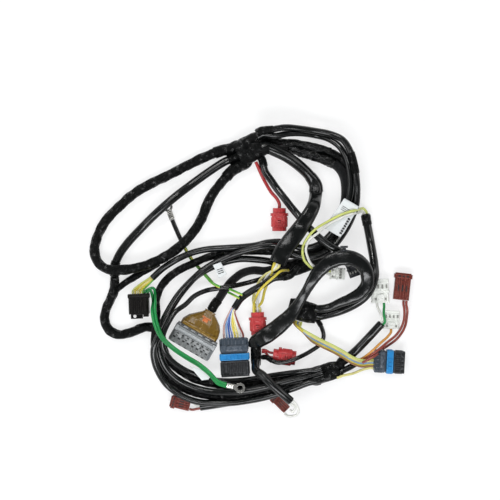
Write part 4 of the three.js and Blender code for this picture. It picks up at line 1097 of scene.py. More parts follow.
def looms() -> list[Cord]:
    """Gives the looms and sheaths, with the plan points of the laying board."""
    smooth, taped, woven = Skin.SMOOTH, Skin.TAPED, Skin.WOVEN
    return [
        Cord(
            "ring_lead_upper_skin", ("ring_lead_upper",), Skin.WIRE, 3.5, port("ring_upper", 0, 0),
            [(175.5, 229), (180, 239), (185, 249), (191, 259), (199, 268.5), (207, 277.5), (212, 283)],
            None, far_end="bare", slot=Slot.SHEATH,
        ),
        Cord(
            "inner_sheath_skin", ("inner_sheath",), smooth, 8.6, port("top_joint", -10, -1.4),
            [
                (225, 161), (210, 170.5), (190, 185), (170, 201), (150, 219), (138, 231), (127, 243),
                (118.5, 255), (114.2, 266), (114, 277),
            ],
            None,
        ),
        Cord(
            "left_taped_loom_skin", ("left_taped_loom",), taped, 9.6, None,
            [
                (114, 277.3), (114, 283), (113.5, 290), (110, 299), (105.5, 309), (104, 320), (108, 330),
                (118, 335), (131, 332.5), (145, 327.5), (155, 329), (160.5, 337), (162, 347), (166, 357.5),
                (174, 366), (184, 373.5), (196, 379.5), (210, 383.5), (227, 385.5), (245, 385), (265, 381.5),
                (285, 377), (305, 373.5),
            ],
            port("right_joint", -6, 5),
        ),
        Cord(
            "left_fork_skin", ("left_taped_loom",), taped, 7.0, None,
            [(113.2, 291.8), (118.3, 287.6), (129, 280), (139, 274), (149, 268.5), (158, 263)],
            None, far_end="bare",
        ),
        Cord(
            "outer_trunk_skin", ("outer_trunk",), taped, 10.0, port("top_joint", -10, 8.4),
            [
                (222, 150), (205, 156.5), (188, 164.5), (170, 174), (150, 183.5), (132, 194.5), (118, 207),
                (106, 219.5), (98, 233), (94, 249), (97, 261), (106, 268.5), (120, 270), (136, 268),
                (152, 263), (168, 255), (181, 245), (192, 233.5), (201, 219), (208.5, 201), (215, 190),
                (224, 179), (233, 169.5),
            ],
            port("top_joint", -10, -11.4),
        ),
        Cord(
            "lower_open_sheath_skin", ("lower_open_sheath",), smooth, 8.6, None,
            [
                (200, 407.5), (213, 405.5), (228, 403), (245, 400), (262, 396), (280, 391), (297, 385.5),
                (311, 380.5),
            ],
            port("right_joint", -6, -5), hollow=(True, False),
        ),
        Cord(
            "trunk_braid_skin", ("trunk_braid",), woven, 10.5, port("top_joint", 10, -3),
            [
                (288, 146), (301, 151), (314, 155.5), (327, 160), (338, 166.5), (344, 175), (346.5, 188),
                (345.5, 202), (341, 216), (335, 230), (328, 243), (321.5, 254),
            ],
            port("branch_joint", -10, 0),
        ),
        Cord(
            "taped_sheath_skin", ("taped_sheath",), taped, 8.0, port("top_joint", 10, 3),
            [
                (280, 142.5), (297, 144), (313, 147), (329, 151.5), (342, 159), (350.5, 170), (354.5, 184),
                (354.5, 199), (350.5, 213), (343, 226.5), (332.5, 239.5), (320, 249.5), (305, 254),
                (290, 254), (272, 251.5), (255, 251), (240, 251), (222, 253.5), (206, 258), (192, 264),
                (179, 270), (168, 278), (160, 288), (156, 300), (156.5, 312), (156, 326), (154.5, 340),
                (156, 354), (161, 368), (169.5, 380), (183, 389), (200, 395), (218, 396.5), (237, 394.5),
                (257, 390.5), (278, 385.5), (300, 379.5),
            ],
            port("right_joint", -6, 0.5),
        ),
        Cord(
            "relay_sheath_skin", ("relay_sheath",), smooth, 6.6, port("top_joint", 10, 6.5),
            [
                (275, 136.5), (288, 134), (302, 133.5), (316, 135), (328, 138.5), (338.5, 146), (345.5, 157),
                (349, 170), (350.5, 184), (349, 198), (344.5, 211), (338, 223), (329.5, 235), (318, 244.5),
                (305, 248), (292, 245.5), (281, 242), (268, 242.5), (255, 245.5), (242, 247), (226, 248),
                (210, 249), (198, 251), (186, 255), (174, 261), (162, 269), (152, 278),
            ],
            None, hollow=(False, True), far_end="bare",
        ),
        Cord(
            "middle_sheath_skin", ("middle_sheath",), smooth, 7.0, port("branch_joint", 10, -5),
            [
                (270, 261.5), (255, 259.5), (240, 259), (225, 262), (211, 267.5), (198, 275), (187, 285),
                (177.5, 296), (169.5, 309), (162.5, 324), (159.5, 340), (161, 356), (167.5, 370), (178, 380),
                (192, 387), (208, 391), (226, 391.5), (245, 390), (265, 386), (285, 380.5), (305, 376),
            ],
            port("right_joint", -6, 3.5),
        ),
        Cord(
            "long_sheath_skin", ("long_sheath",), smooth, 6.6, port("top_joint", 10, 10.5),
            [
                (272, 130.5), (285, 128.5), (300, 129.5), (315, 131.5), (330, 134.5), (342, 140.5),
                (349, 151), (353, 164), (355.5, 178), (356.5, 192), (355.5, 206), (350.5, 220), (344, 232),
                (335.5, 243.5), (324.5, 252.5), (311, 257), (297, 255.5), (285, 250), (273, 246.5),
                (261, 247.5), (249, 250), (237, 253.5), (224, 258.5), (211, 265), (199, 273.5), (189, 284),
                (179.5, 296), (171.5, 309), (165, 323), (158.5, 337), (154.5, 349), (155.5, 362), (160, 374),
                (167, 385), (177, 393), (189, 399), (202, 402.5), (216, 403), (232, 402.5), (248, 400),
                (264, 396.5), (279, 392), (294, 386.5), (308, 381),
            ],
            port("right_joint", -6, -3),
        ),
        Cord(
            "unit_loom_skin", ("unit_loom",), woven, 8.6, port("branch_joint", 10, 0.5),
            [(275, 269.5), (264, 271), (253, 270.5), (242, 273.5), (232, 281), (224, 291), (217.5, 301)],
            port("unit", -34.42, 0.5), far_end="connector", plug=("unit_connector_hood",),
        ),
        Cord(
            "small_inner_sheath_skin", ("small_inner_sheath",), smooth, 5.0, port("branch_joint", 10, 4.5),
            [
                (272, 275), (258, 280), (245, 283.5), (231, 286.5), (217, 288.5), (205, 291), (194.5, 296),
                (186, 304), (176.5, 311), (169.5, 322), (164.5, 334), (164, 346), (170, 357), (180, 366),
                (192, 373), (207, 378), (223, 380), (240, 380), (257, 378), (275, 374.5), (295, 371),
                (310, 369),
            ],
            port("right_joint", -6, 7.5),
        ),
        Cord(
            "end_sheath_skin", ("end_sheath",), smooth, 8.6, port("lower_joint", 7.5, 0),
            [(262.5, 373.5), (270, 381), (279, 389), (290, 399)],
            None, hollow=(False, True), declared=False,
        ),
        Cord(
            "small_lead_skin", ("small_lead",), smooth, 4.4, port("centre_joint", 10, -5),
            [
                (318, 321), (322.5, 329), (324, 337.5), (320, 345), (311, 351), (300, 356.5), (288, 361),
                (276, 362),
            ],
            port("lower_joint", 4, 5.5, 90),
        ),
        Cord(
            "cross_sheath_skin", ("cross_sheath",), smooth, 8.6, port("right_joint", 6, 3),
            [(341, 363.5), (351, 356), (359, 348.5), (367, 339.5), (374, 331.5), (381, 323.5)],
            None, hollow=(False, True), far_end="bare",
        ),
        Cord(
            "maroon_sheath_skin", ("maroon_sheath",), smooth, 6.2, port("right_joint", 6, -4.5),
            [(342, 372), (351, 367.5), (361, 361.5)],
            None, hollow=(False, True), declared=False,
        ),
        Cord(
            "right_riser_skin", ("right_riser",), smooth, 8.6, port("centre_joint", 10, -0.5),
            [
                (327, 315), (340, 311.5), (353, 305.5), (364, 297.5), (371, 287.5), (374.5, 276),
                (374, 263.5), (372.5, 251), (370.5, 238), (368, 225), (366, 214),
            ],
            None, hollow=(False, True), far_end="bare",
        ),
        Cord(
            "diagonal_sheath_skin", ("diagonal_sheath",), smooth, 7.6, port("top_joint", 5.2, -14, -90),
            [
                (265, 171), (271, 180), (277.5, 189.5), (284, 198), (290.5, 206.5), (297, 214.5), (303, 222),
                (310, 229.5), (318.5, 238), (329, 246), (339, 251.5),
            ],
            port("black", 0, 0), far_end="connector", plug=("black_connector",), lead=2.0,
        ),
        Cord(
            "upper_red_lead_skin", ("upper_red_lead",), Skin.WIRE, 3.5, port("top_joint", -1.4, -14, -90),
            [(260, 171), (265.5, 182), (271.5, 192), (277, 198.5)],
            port("red_upper", 0, 0), far_end="connector", plug=("red_connector_upper",), slot=Slot.WIRE_RED,
        ),
        Cord(
            "upper_loom_skin", ("thick_loom",), smooth, 11.5, port("top_joint", 10, -5.5),
            [(274.5, 151.5), (286, 157), (297.5, 164.5), (307.5, 173), (315, 182)],
            None, lead=2.5, declared=False,
        ),
        Cord(
            "wide_sheath_skin", ("thick_loom",), smooth, 8.6, None,
            [
                (315, 182), (316.5, 188), (316, 194), (313, 206), (306, 219), (297.5, 231), (288.5, 243),
                (281, 254), (277, 263),
            ],
            None, width=16.0, hollow=(False, True), far_end="bare",
            widths=((0, 13), (0.2, 12.5), (0.45, 15), (0.75, 18), (1, 17)),
        ),
        Cord(
            "flat_loop_skin", ("flat_loop",), smooth, 7.4, port("lower_joint", -7.5, 0),
            [
                (259.5, 339.5), (268, 334), (279, 325.5), (289, 316), (297, 305), (304, 293.5), (311, 281),
                (319, 269.5), (329.5, 261), (341, 257.5), (352.5, 259), (361.5, 265), (366, 274), (366, 284),
                (360, 292.5), (350, 298.5), (339, 303), (329, 307.5),
            ],
            port("centre_joint", 10, 6), width=14.0, lead=3.0, slot=Slot.TAPE,
            widths=(
                (0, 15), (0.07, 17.5), (0.18, 16), (0.28, 10), (0.34, 9), (0.46, 15), (0.56, 16), (0.66, 14),
                (0.78, 13), (0.9, 9), (1, 8),
            ),
        ),
        Cord(
            "front_sheath_skin", ("front_sheath",), smooth, 7.0, port("branch_joint", 10, 6.5),
            [(273, 278), (262, 285), (251, 291), (241, 298.5), (234.5, 308)],
            None, hollow=(False, True), far_end="bare",
        ),
    ]


@dataclass(frozen=True)
class Tint:
    """A wire's insulation: a name, its colour, its stripe and the record's slot."""

    name: str
    colour: Colour
    slot: Slot | None = None
    stripe: Colour | None = None

    def material(self, palette: Palette) -> bpy.types.Material:
        """Gives the insulation's material."""
        return palette.wire(f"wire_{self.name}", self.colour, self.stripe)


WHITE = Tint("white", srgb(226, 226, 220), Slot.WIRE_WHITE)
YELLOW = Tint("yellow", srgb(214, 196, 66), Slot.WIRE_YELLOW)
PALE_YELLOW = Tint("pale_yellow", srgb(224, 216, 140), Slot.WIRE_YELLOW)
LIME = Tint("lime", srgb(206, 214, 118), Slot.WIRE_LIME)
EARTH = Tint("earth", srgb(96, 168, 60), Slot.WIRE_LIME, srgb(214, 208, 70))
GREEN = Tint("green", srgb(14, 138, 66), Slot.WIRE_GREEN)
RED = Tint("red", srgb(172, 40, 42), Slot.WIRE_RED)
BROWN = Tint("brown", srgb(142, 62, 50), Slot.WIRE_BROWN)
TAN = Tint("tan", srgb(150, 108, 66))
BLUE = Tint("blue", srgb(64, 96, 168))
SKY = Tint("sky", srgb(132, 164, 204))
ROSE = Tint("rose", srgb(196, 158, 152))
ORANGE = Tint("orange", srgb(212, 150, 70), Slot.WIRE_YELLOW)
BLUE_WHITE = Tint("blue_white", srgb(214, 220, 228), None, srgb(60, 92, 168))


def wires(lines: dict[str, Line], pile: Felt) -> list[tuple[Cord, Tint]]:
    """Gives the single wires that show between a cord and a connector.

    Args:
        lines: The looms' middle lines by CAD node.
        pile: Everything that lies there.

    Returns:
        Each wire and its insulation.
    """
    made: list[tuple[Cord, Tint]] = []

    def wire(
        name: str,
        node: str,
        tint: Tint,
        start: End | None,
        plan: Sequence[Point],
        end: End | None,
        diameter: float = 2.6,
        declared: bool = False,
        plug: tuple[str, ...] = (),
        rest_on: Felt | None = None,
        lead: float | None = None,
    ) -> None:
        """Adds a wire of a CAD node, or one that only the scene has and that rests on the rest."""
        made.append((
            Cord(
                name, (node,), Skin.WIRE, diameter, start, plan, end, declared=declared,
                far_end="connector" if plug else "bare", plug=plug, slot=tint.slot,
                stands_for_node=rest_on is None, rest_on=rest_on, lead=lead,
            ),
            tint,
        ))

    lower = lines["lower_open_sheath"]
    for k, (aside, tint) in enumerate(((-1.7, WHITE), (1.7, BROWN))):
        wire(
            f"left_lead_{k}", "left_leads", tint, mouth(lower, False, aside), [],
            port("maroon_left", 0, 2 * aside),
        )
    bottom = lines["end_sheath"]
    for k, (aside, tint) in enumerate(((-1.7, WHITE), (1.7, WHITE))):
        wire(
            f"end_lead_{k}", "end_leads", tint, mouth(bottom, True, aside),
            [(296.5 + aside, 407 + aside), (294 + aside, 412 + aside)], port("maroon_lower", 0, 2 * aside),
        )
    for k, aside in enumerate((-2.2, 2.2)):
        wire(
            f"lower_red_lead_{k}", "lower_red_leads", RED, port("lower_joint", -2 + aside / 2, 5.5, 90), [],
            port("red_lower", 0, -aside),
        )
    cross = lines["cross_sheath"]
    for k, (aside, tint) in enumerate(((-1.7, GREEN), (1.7, WHITE))):
        wire(
            f"white_lead_{k}", "white_leads", tint, mouth(cross, True, aside), [(382 - aside, 313)],
            port("white_upper", 0, 2 * aside),
        )
    riser = lines["right_riser"]
    for k, (aside, tint) in enumerate(((-1.6, LIME), (1.6, WHITE))):
        wire(
            f"riser_lead_{k}", "riser_leads", tint, mouth(riser, True, aside),
            [
                (363.2 - 0.3 * aside, 209.8 + aside), (357, 211.6 + 0.9 * aside), (348, 213.6 + 0.9 * aside),
                (337, 218 + aside), (326, 224 + aside), (315.5 + aside, 231.5 + aside), (307 + aside, 240),
                (303.5 + aside, 249), (305 + aside, 258 - aside), (311, 266 - aside), (319, 270.5 - aside),
            ],
            port("white_inner", 0, -aside), declared=True, plug=("white_connector_inner",), lead=1.2,
        )
    relay = lines["relay_sheath"]
    relay_tints = (LIME, YELLOW, PALE_YELLOW, YELLOW, EARTH)
    for k, tint in enumerate(relay_tints):
        aside = (k - 2) * 0.95
        wire(
            f"relay_lead_{k}", "relay_leads", tint, mouth(relay, True, aside), [(144.5 + 2.2 * aside, 284)],
            port("relay", 0, 2.6 * aside - 1), diameter=2.2,
        )
    for k, aside in enumerate((-1.5, 1.5)):
        wire(
            f"green_lead_{k}", "green_leads", GREEN, port("relay", 0, 7.5 - aside),
            [
                (151.3 + aside, 289.5 - 0.8 * aside), (154 + aside, 299), (154.5 + aside, 312),
                (157.5 + aside, 324), (163 + aside, 335), (173, 345.5 - aside), (187, 356 - aside),
                (200, 364.5 - aside), (210, 372.5 - aside), (218, 380.5 - aside),
            ],
            port("ring_lower", 0, 0.8 * aside), diameter=3.0, declared=True, plug=("ring_terminal_lower",),
            lead=1.5,
        )
    wide = lines["wide_sheath"]
    for k, (aside, tint) in enumerate(((-2.4, YELLOW), (0.0, WHITE), (2.4, PALE_YELLOW))):
        wire(
            f"middle_lead_{k}", "middle_leads", tint, mouth(wide, True, aside),
            [(267 - 1.5 * aside, 276), (260 - 2 * aside, 290), (257.5 - 1.6 * aside, 303)],
            port("red_middle", 0, 1.1 * aside), diameter=2.8, declared=True, plug=("red_connector_middle",),
        )
    front = lines["front_sheath"]
    front_tints = (ROSE, SKY, BLUE, BLUE_WHITE, YELLOW, PALE_YELLOW, WHITE, BROWN)
    for k, tint in enumerate(front_tints):
        y = (k - 3.5) * 2.75
        wire(
            f"front_lead_{k}", "front_leads", tint, mouth(front, True, y / 5), [(231.5 + 0.75 * y, 325)],
            port("front", 0, y), diameter=2.1,
        )
    maroon = lines["maroon_sheath"]
    wire(
        "white_lower_lead", "maroon_leads", ORANGE, mouth(maroon, True, 1.5), [(380, 343), (387.5, 337)],
        port("white_lower", 0, 0), declared=True, plug=("white_connector_lower",),
    )
    wire(
        "maroon_lead", "maroon_leads", BROWN, mouth(maroon, True, 0.0),
        [(386, 343), (397, 334), (403.5, 322), (405, 310)], port("maroon_right", 0, -3),
        declared=True, plug=("maroon_connector_right",),
    )
    signal_tints = (TAN, YELLOW, SKY, PALE_YELLOW, LIME)
    for k, tint in enumerate(signal_tints):
        aside = (k - 2) * 1.75
        wire(
            f"signal_lead_{k}", "signal_leads", tint, port("centre_joint", aside - 2, -11, -90),
            [
                (302 - 0.5 * aside, 330 - 0.8 * aside), (312, 338 - aside), (323, 344 - aside),
                (334, 349.5 - aside), (344, 355 - aside), (353, 360.5 - aside), (362, 363.5 - aside),
            ],
            port("side", 0, aside - 2), diameter=2.2, declared=True, plug=("side_connector_cap",),
        )
    for name, tint, plan, thick in (
        ("inner_lead_0", EARTH, [(209.5, 280.5), (214, 284), (220, 287)], 3.0),
        ("inner_lead_1", EARTH, [(229.5, 289), (236, 291.5), (242.5, 294.5)], 2.4),
        ("inner_lead_2", EARTH, [(228.5, 292.5), (234, 295), (239.5, 298)], 2.4),
    ):
        wire(name, "middle_sheath", tint, None, plan, None, diameter=thick, rest_on=pile)
    wire(
        "inner_yellow", "middle_sheath", YELLOW, port("branch_joint", 10, 1.5),
        [(281, 270.5), (273, 277), (264.5, 284.5), (257.5, 293), (254, 303)], port("red_middle", 0, -3.8),
        rest_on=pile, lead=0.8,
    )
    wire(
        "maroon_lead_low", "maroon_leads", BROWN, mouth(maroon, True, -1.2),
        [(388, 347), (399.5, 338), (406.5, 326), (408, 312)], port("maroon_right", 0, -5.6), rest_on=pile,
    )
    wire(
        "signal_lead_lower", "signal_leads", PALE_YELLOW, port("right_joint", 6, -8),
        [(343, 376), (354, 374), (364, 370)], port("side", 0, -7.5), declared=True,
        plug=("side_connector_cap",),
    )
    return made


# Connectors


@dataclass
class Detail:
    """Raised detail of a moulded part, in millimetres of its own frame; where the part is let in, boxes of
    painted shade stand for the hollow.
    """

    name: str
    pose: str | None
    material: bpy.types.Material
    slot: Slot | None = None
    boxes: list[Box] = field(default_factory=list)
    rounds: list[Box] = field(default_factory=list)
    chamfer: float = 0.25

    def row(self, count: int, pitch: float, box: Box) -> None:
        """Adds a row of boxes side by side across the part, centred."""
        x0, x1, y0, y1, z0, z1 = box
        for k in range(count):
            shift = (k - (count - 1) / 2) * pitch
            self.boxes.append((x0, x1, y0 + shift, y1 + shift, z0, z1))

    def pair(self, box: Box) -> None:
        """Adds a box and its mirror image on the part's other side."""
        x0, x1, y0, y1, z0, z1 = box
        self.boxes += [box, (x0, x1, -y1, -y0, z0, z1)]

    def pins(self, count: int, pitch: float, ends: Point, diameter: float, height: float) -> None:
        """Adds a row of round bars along the part, centred.

        Args:
            count: How many bars.
            pitch: The distance between their axes.
            ends: Where they start and end along the part.
            diameter: Their diameter.
            height: The height of their axes.
        """
        radius = diameter / 2
        for k in range(count):
            y = (k - (count - 1) / 2) * pitch
            self.rounds.append((*ends, y - radius, y + radius, height - radius, height + radius))

    def build(self, place: Matrix | None = None) -> None:
        """Builds the detail as one piece, in the frame of its pose or in the one given."""
        if place is None:
            place = POSES[self.pose].matrix()
        mesh = box_mesh(self.name, self.boxes, self.rounds, self.chamfer, place)
        show(self.name, mesh, self.material, MOULDED_EDGES)


@dataclass
class Banded:
    """The sizes of a connector with a blue lock bar, as the CAD has them."""

    pose: str
    ways: int
    width: float
    shell: float
    cap: float

    def build(self, palette: Palette) -> None:
        """Adds the ribs, seals, latches and terminals."""
        black, grey, blue = housing_finishes(palette)
        start = self.cap + LOCK_GAP
        end = start + LOCK_LENGTH
        shell = end + LOCK_GAP
        last = shell + self.shell
        half = self.width / 2
        pitch = (self.width - 6) / self.ways
        cap = Detail(f"{self.pose}_cap_ribs", self.pose, grey, Slot.CAP, chamfer=0.3)
        cap.row(self.ways, pitch, (1.4, self.cap * 0.4, -0.55, 0.55, 14.3, 15.5))
        cap.boxes.append((self.cap * 0.5, self.cap - 2.2, -half * 0.55, half * 0.55, 15.2, 16.3))
        cap.pair((0.6, self.cap - 3, -half - 0.5, -half + 1.2, 3.5, 11.5))
        cap.build()
        seals = Detail(f"{self.pose}_wire_seals", self.pose, palette.made["seal_blue"], chamfer=0.3)
        for level in (10.8, 4.7):
            seals.pins(self.ways, pitch, (-0.7, 1.2), 3.0, level)
        seals.build()
        lock = Detail(f"{self.pose}_lock_grips", self.pose, blue, Slot.LOCK, chamfer=0.25)
        lock.boxes += [
            (start + 0.3, start + 1.1, -half + 1, half - 1, 16.1, 17.0),
            (end - 1.1, end - 0.3, -half + 1, half - 1, 16.1, 17.0),
        ]
        lock.pair((start + 0.8, end - 0.8, -half - 1.1, -half - 0.3, 4.0, 12.5))
        lock.build()
        ribs = Detail(f"{self.pose}_shell_ribs", self.pose, black, Slot.BLACK, chamfer=0.2)
        ribs.row(self.ways * 2, pitch / 2, (shell + 2.4, last - 4.6, -0.42, 0.42, 15.1, 16.0))
        ribs.row(self.ways, pitch, (last - 3.6, last - 0.6, -1.2, 1.2, 15.1, 15.9))
        ribs.boxes += [
            (shell + 0.4, shell + 1.7, -half + 0.3, half - 0.3, 15.0, 16.2),
            (last - 4.4, last - 3.7, -half + 0.3, half - 0.3, 15.0, 16.0),
        ]
        for low, high in ((5.0, 6.6), (9.4, 11.0)):
            ribs.pair((shell + 2, last - 2, -half - 0.7, -half + 0.4, low, high))
        ribs.build()
        blades = Detail(f"{self.pose}_terminals", self.pose, palette.metal(), Slot.METAL, chamfer=0.1)
        for level in (4.75, 10.75):
            blades.row(self.ways, pitch, (last - 8.8, last - 2.4, -0.4, 0.4, level - 0.4, level + 0.4))
        blades.build()


def housing_finishes(palette: Palette) -> tuple[bpy.types.Material, ...]:
    """Gives the black, grey and blue plastics of the lock bar connectors."""
    return (
        palette.plastic("black_housing", srgb(28, 30, 33), srgb(92, 94, 98), 0.38, gloss=0.35),
        palette.plastic("grey_cap", srgb(52, 64, 76), srgb(118, 126, 138), 0.36),
        palette.plastic("blue_lock", srgb(16, 132, 200), srgb(96, 180, 226), 0.34),
    )


def dress_nodes(frame: dict, palette: Palette) -> None:
    """Gives each CAD part that stays in view its plastic, with rounded edges."""
    black, grey, blue = housing_finishes(palette)
    unit = palette.plastic("unit_grey", srgb(138, 141, 142), srgb(196, 198, 198), 0.45)
    lever = palette.plastic("lever_grey", srgb(164, 168, 170), srgb(214, 216, 216), 0.4)
    amber = palette.plastic("amber_hood", srgb(118, 88, 22), srgb(184, 150, 70), 0.24, 0.1)
    maroon = palette.plastic("maroon", srgb(112, 44, 34), srgb(164, 94, 80), 0.42, gloss=0.3)
    white = palette.plastic("nylon_white", srgb(234, 236, 230), srgb(248, 248, 244), 0.38)
    red = palette.plastic("red_housing", srgb(184, 42, 46), srgb(224, 120, 118), 0.36)
    relay = palette.plastic("relay_black", srgb(11, 9, 8), srgb(42, 38, 34), 0.4, gloss=0.18)
    palette.plastic("seal_blue", srgb(70, 88, 112), srgb(130, 146, 168), 0.5)
    # A dark plastic that serves both as real print on the labels and as painted shade in the slots and gaps
    # of the housings.
    palette.plastic("print_dark", srgb(24, 25, 26), srgb(44, 46, 48), 0.55)
    palette.plastic("shade_grey", srgb(132, 132, 126), srgb(160, 160, 154), 0.5)
    looks: list[tuple[str, bpy.types.Material, Slot]] = [
        ("front_connector_shell", black, Slot.BLACK), ("side_connector_shell", black, Slot.BLACK),
        ("front_connector_lock", blue, Slot.LOCK), ("side_connector_lock", blue, Slot.LOCK),
        ("front_connector_cap", grey, Slot.CAP), ("side_connector_cap", grey, Slot.CAP),
        ("unit_connector_body", unit, Slot.UNIT), ("unit_connector_lever", lever, Slot.LEVER),
        ("unit_connector_hood", amber, Slot.AMBER), ("relay_holder", relay, Slot.BLACK),
        ("black_connector", black, Slot.BLACK),
        ("maroon_connector_right", maroon, Slot.MAROON), ("maroon_connector_lower", maroon, Slot.MAROON),
        ("maroon_connector_left", maroon, Slot.MAROON), ("white_connector_upper", white, Slot.WHITE),
        ("white_connector_lower", white, Slot.WHITE), ("white_connector_inner", white, Slot.WHITE),
        ("red_connector_upper", red, Slot.RED), ("red_connector_middle", red, Slot.RED),
        ("red_connector_lower", red, Slot.RED), ("ring_terminal_upper", palette.metal(), Slot.METAL),
        ("ring_terminal_lower", palette.metal(), Slot.METAL),
    ]
    for name, material, slot in looks:
        node = frame["nodes"][name]
        node.data.materials.clear()
        node.data.materials.append(material)
        weld = node.modifiers.new("weld", "WELD")
        weld.merge_threshold = WELD_REACH
        bevel = node.modifiers.new("rounded_edges", "BEVEL")
        bevel.limit_method = "ANGLE"
        bevel.angle_limit = math.radians(EDGE_ANGLE)
        bevel.width = EDGE_ROUNDING
        bevel.segments = 2
        bevel.harden_normals = True
        log.info("%s: %s", name, material.name)


def unit_details(palette: Palette) -> None:
    """Adds the pads, grips, ribs and clip of the grey unit connector, and dark boxes painted as the shade in
    its slots and in the grooves beside the lever.
    """
    made = palette.made
    unit = Detail("unit_pads", "unit", made["unit_grey"], Slot.UNIT, chamfer=0.25)
    unit.row(4, 10.4, (-1.6, 3.4, -3.9, 3.9, 16.6, 17.7))
    unit.row(8, 5.2, (5.9, 8.4, -0.6, 0.6, 16.6, 17.4))
    unit.boxes += [(-9.8, -8.2, -20, 20, 16.6, 17.5), (9.0, 10.3, -21, 21, 14.0, 17.4)]
    unit.pair((-8, 9, -23.1, -21.8, 4, 13))
    unit.build()
    # Painted shade: dark boxes laid on the face stand for the shade in the slots and in the grooves beside
    # the lever.
    slots = Detail("unit_slots", "unit", made["print_dark"], chamfer=0.05)
    slots.row(8, 5.2, (4.0, 5.5, -1.7, 0.9, 16.7, 17.1))
    slots.row(7, 5.6, (-0.6, 0.7, -1.3, 1.3, 17.5, 17.8))
    slots.row(5, 8.2, (-9.6, -8.5, -2.2, 1.2, 17.3, 17.62))
    slots.row(4, 10.4, (2.0, 3.0, -2.6, -0.4, 17.5, 17.82))
    slots.row(6, 6.6, (9.2, 10.1, -1.2, 1.2, 17.2, 17.52))
    slots.boxes += [(-1.95, -1.55, -20.5, 20.5, 16.5, 17.0), (-8.1, -7.7, -20.5, 20.5, 16.5, 17.3)]
    slots.build()
    lever = Detail("lever_grips", "unit", made["lever_grey"], Slot.LEVER, chamfer=0.2)
    lever.row(12, 3.2, (-5.4, -3.6, -0.5, 0.5, 19.2, 19.8))
    lever.pair((-7.4, -1.9, -22.2, -19.4, 13.0, 19.0))
    lever.build()
    hood = Detail("hood_ribs", "unit", made["amber_hood"], Slot.AMBER, chamfer=0.4)
    hood.boxes += [(-14.5, -10.9, -18.5, 18.5, 16.6, 18.2), (-20.5, -14.0, -1.0, 1.0, 15.6, 17.9)]
    hood.pair((-20.5, -14.0, 7.0, 8.6, 14.6, 17.4))
    hood.build()
    orange = palette.plastic("clip_orange", srgb(196, 98, 34), srgb(230, 160, 100))
    tie = Detail("hood_clip", "unit", orange, chamfer=0.4)
    tie.boxes += [(-27.5, -21.0, -4.2, 5.2, 13.6, 16.2), (-26.0, -22.5, -2.4, 3.2, 16.0, 17.4)]
    tie.build()


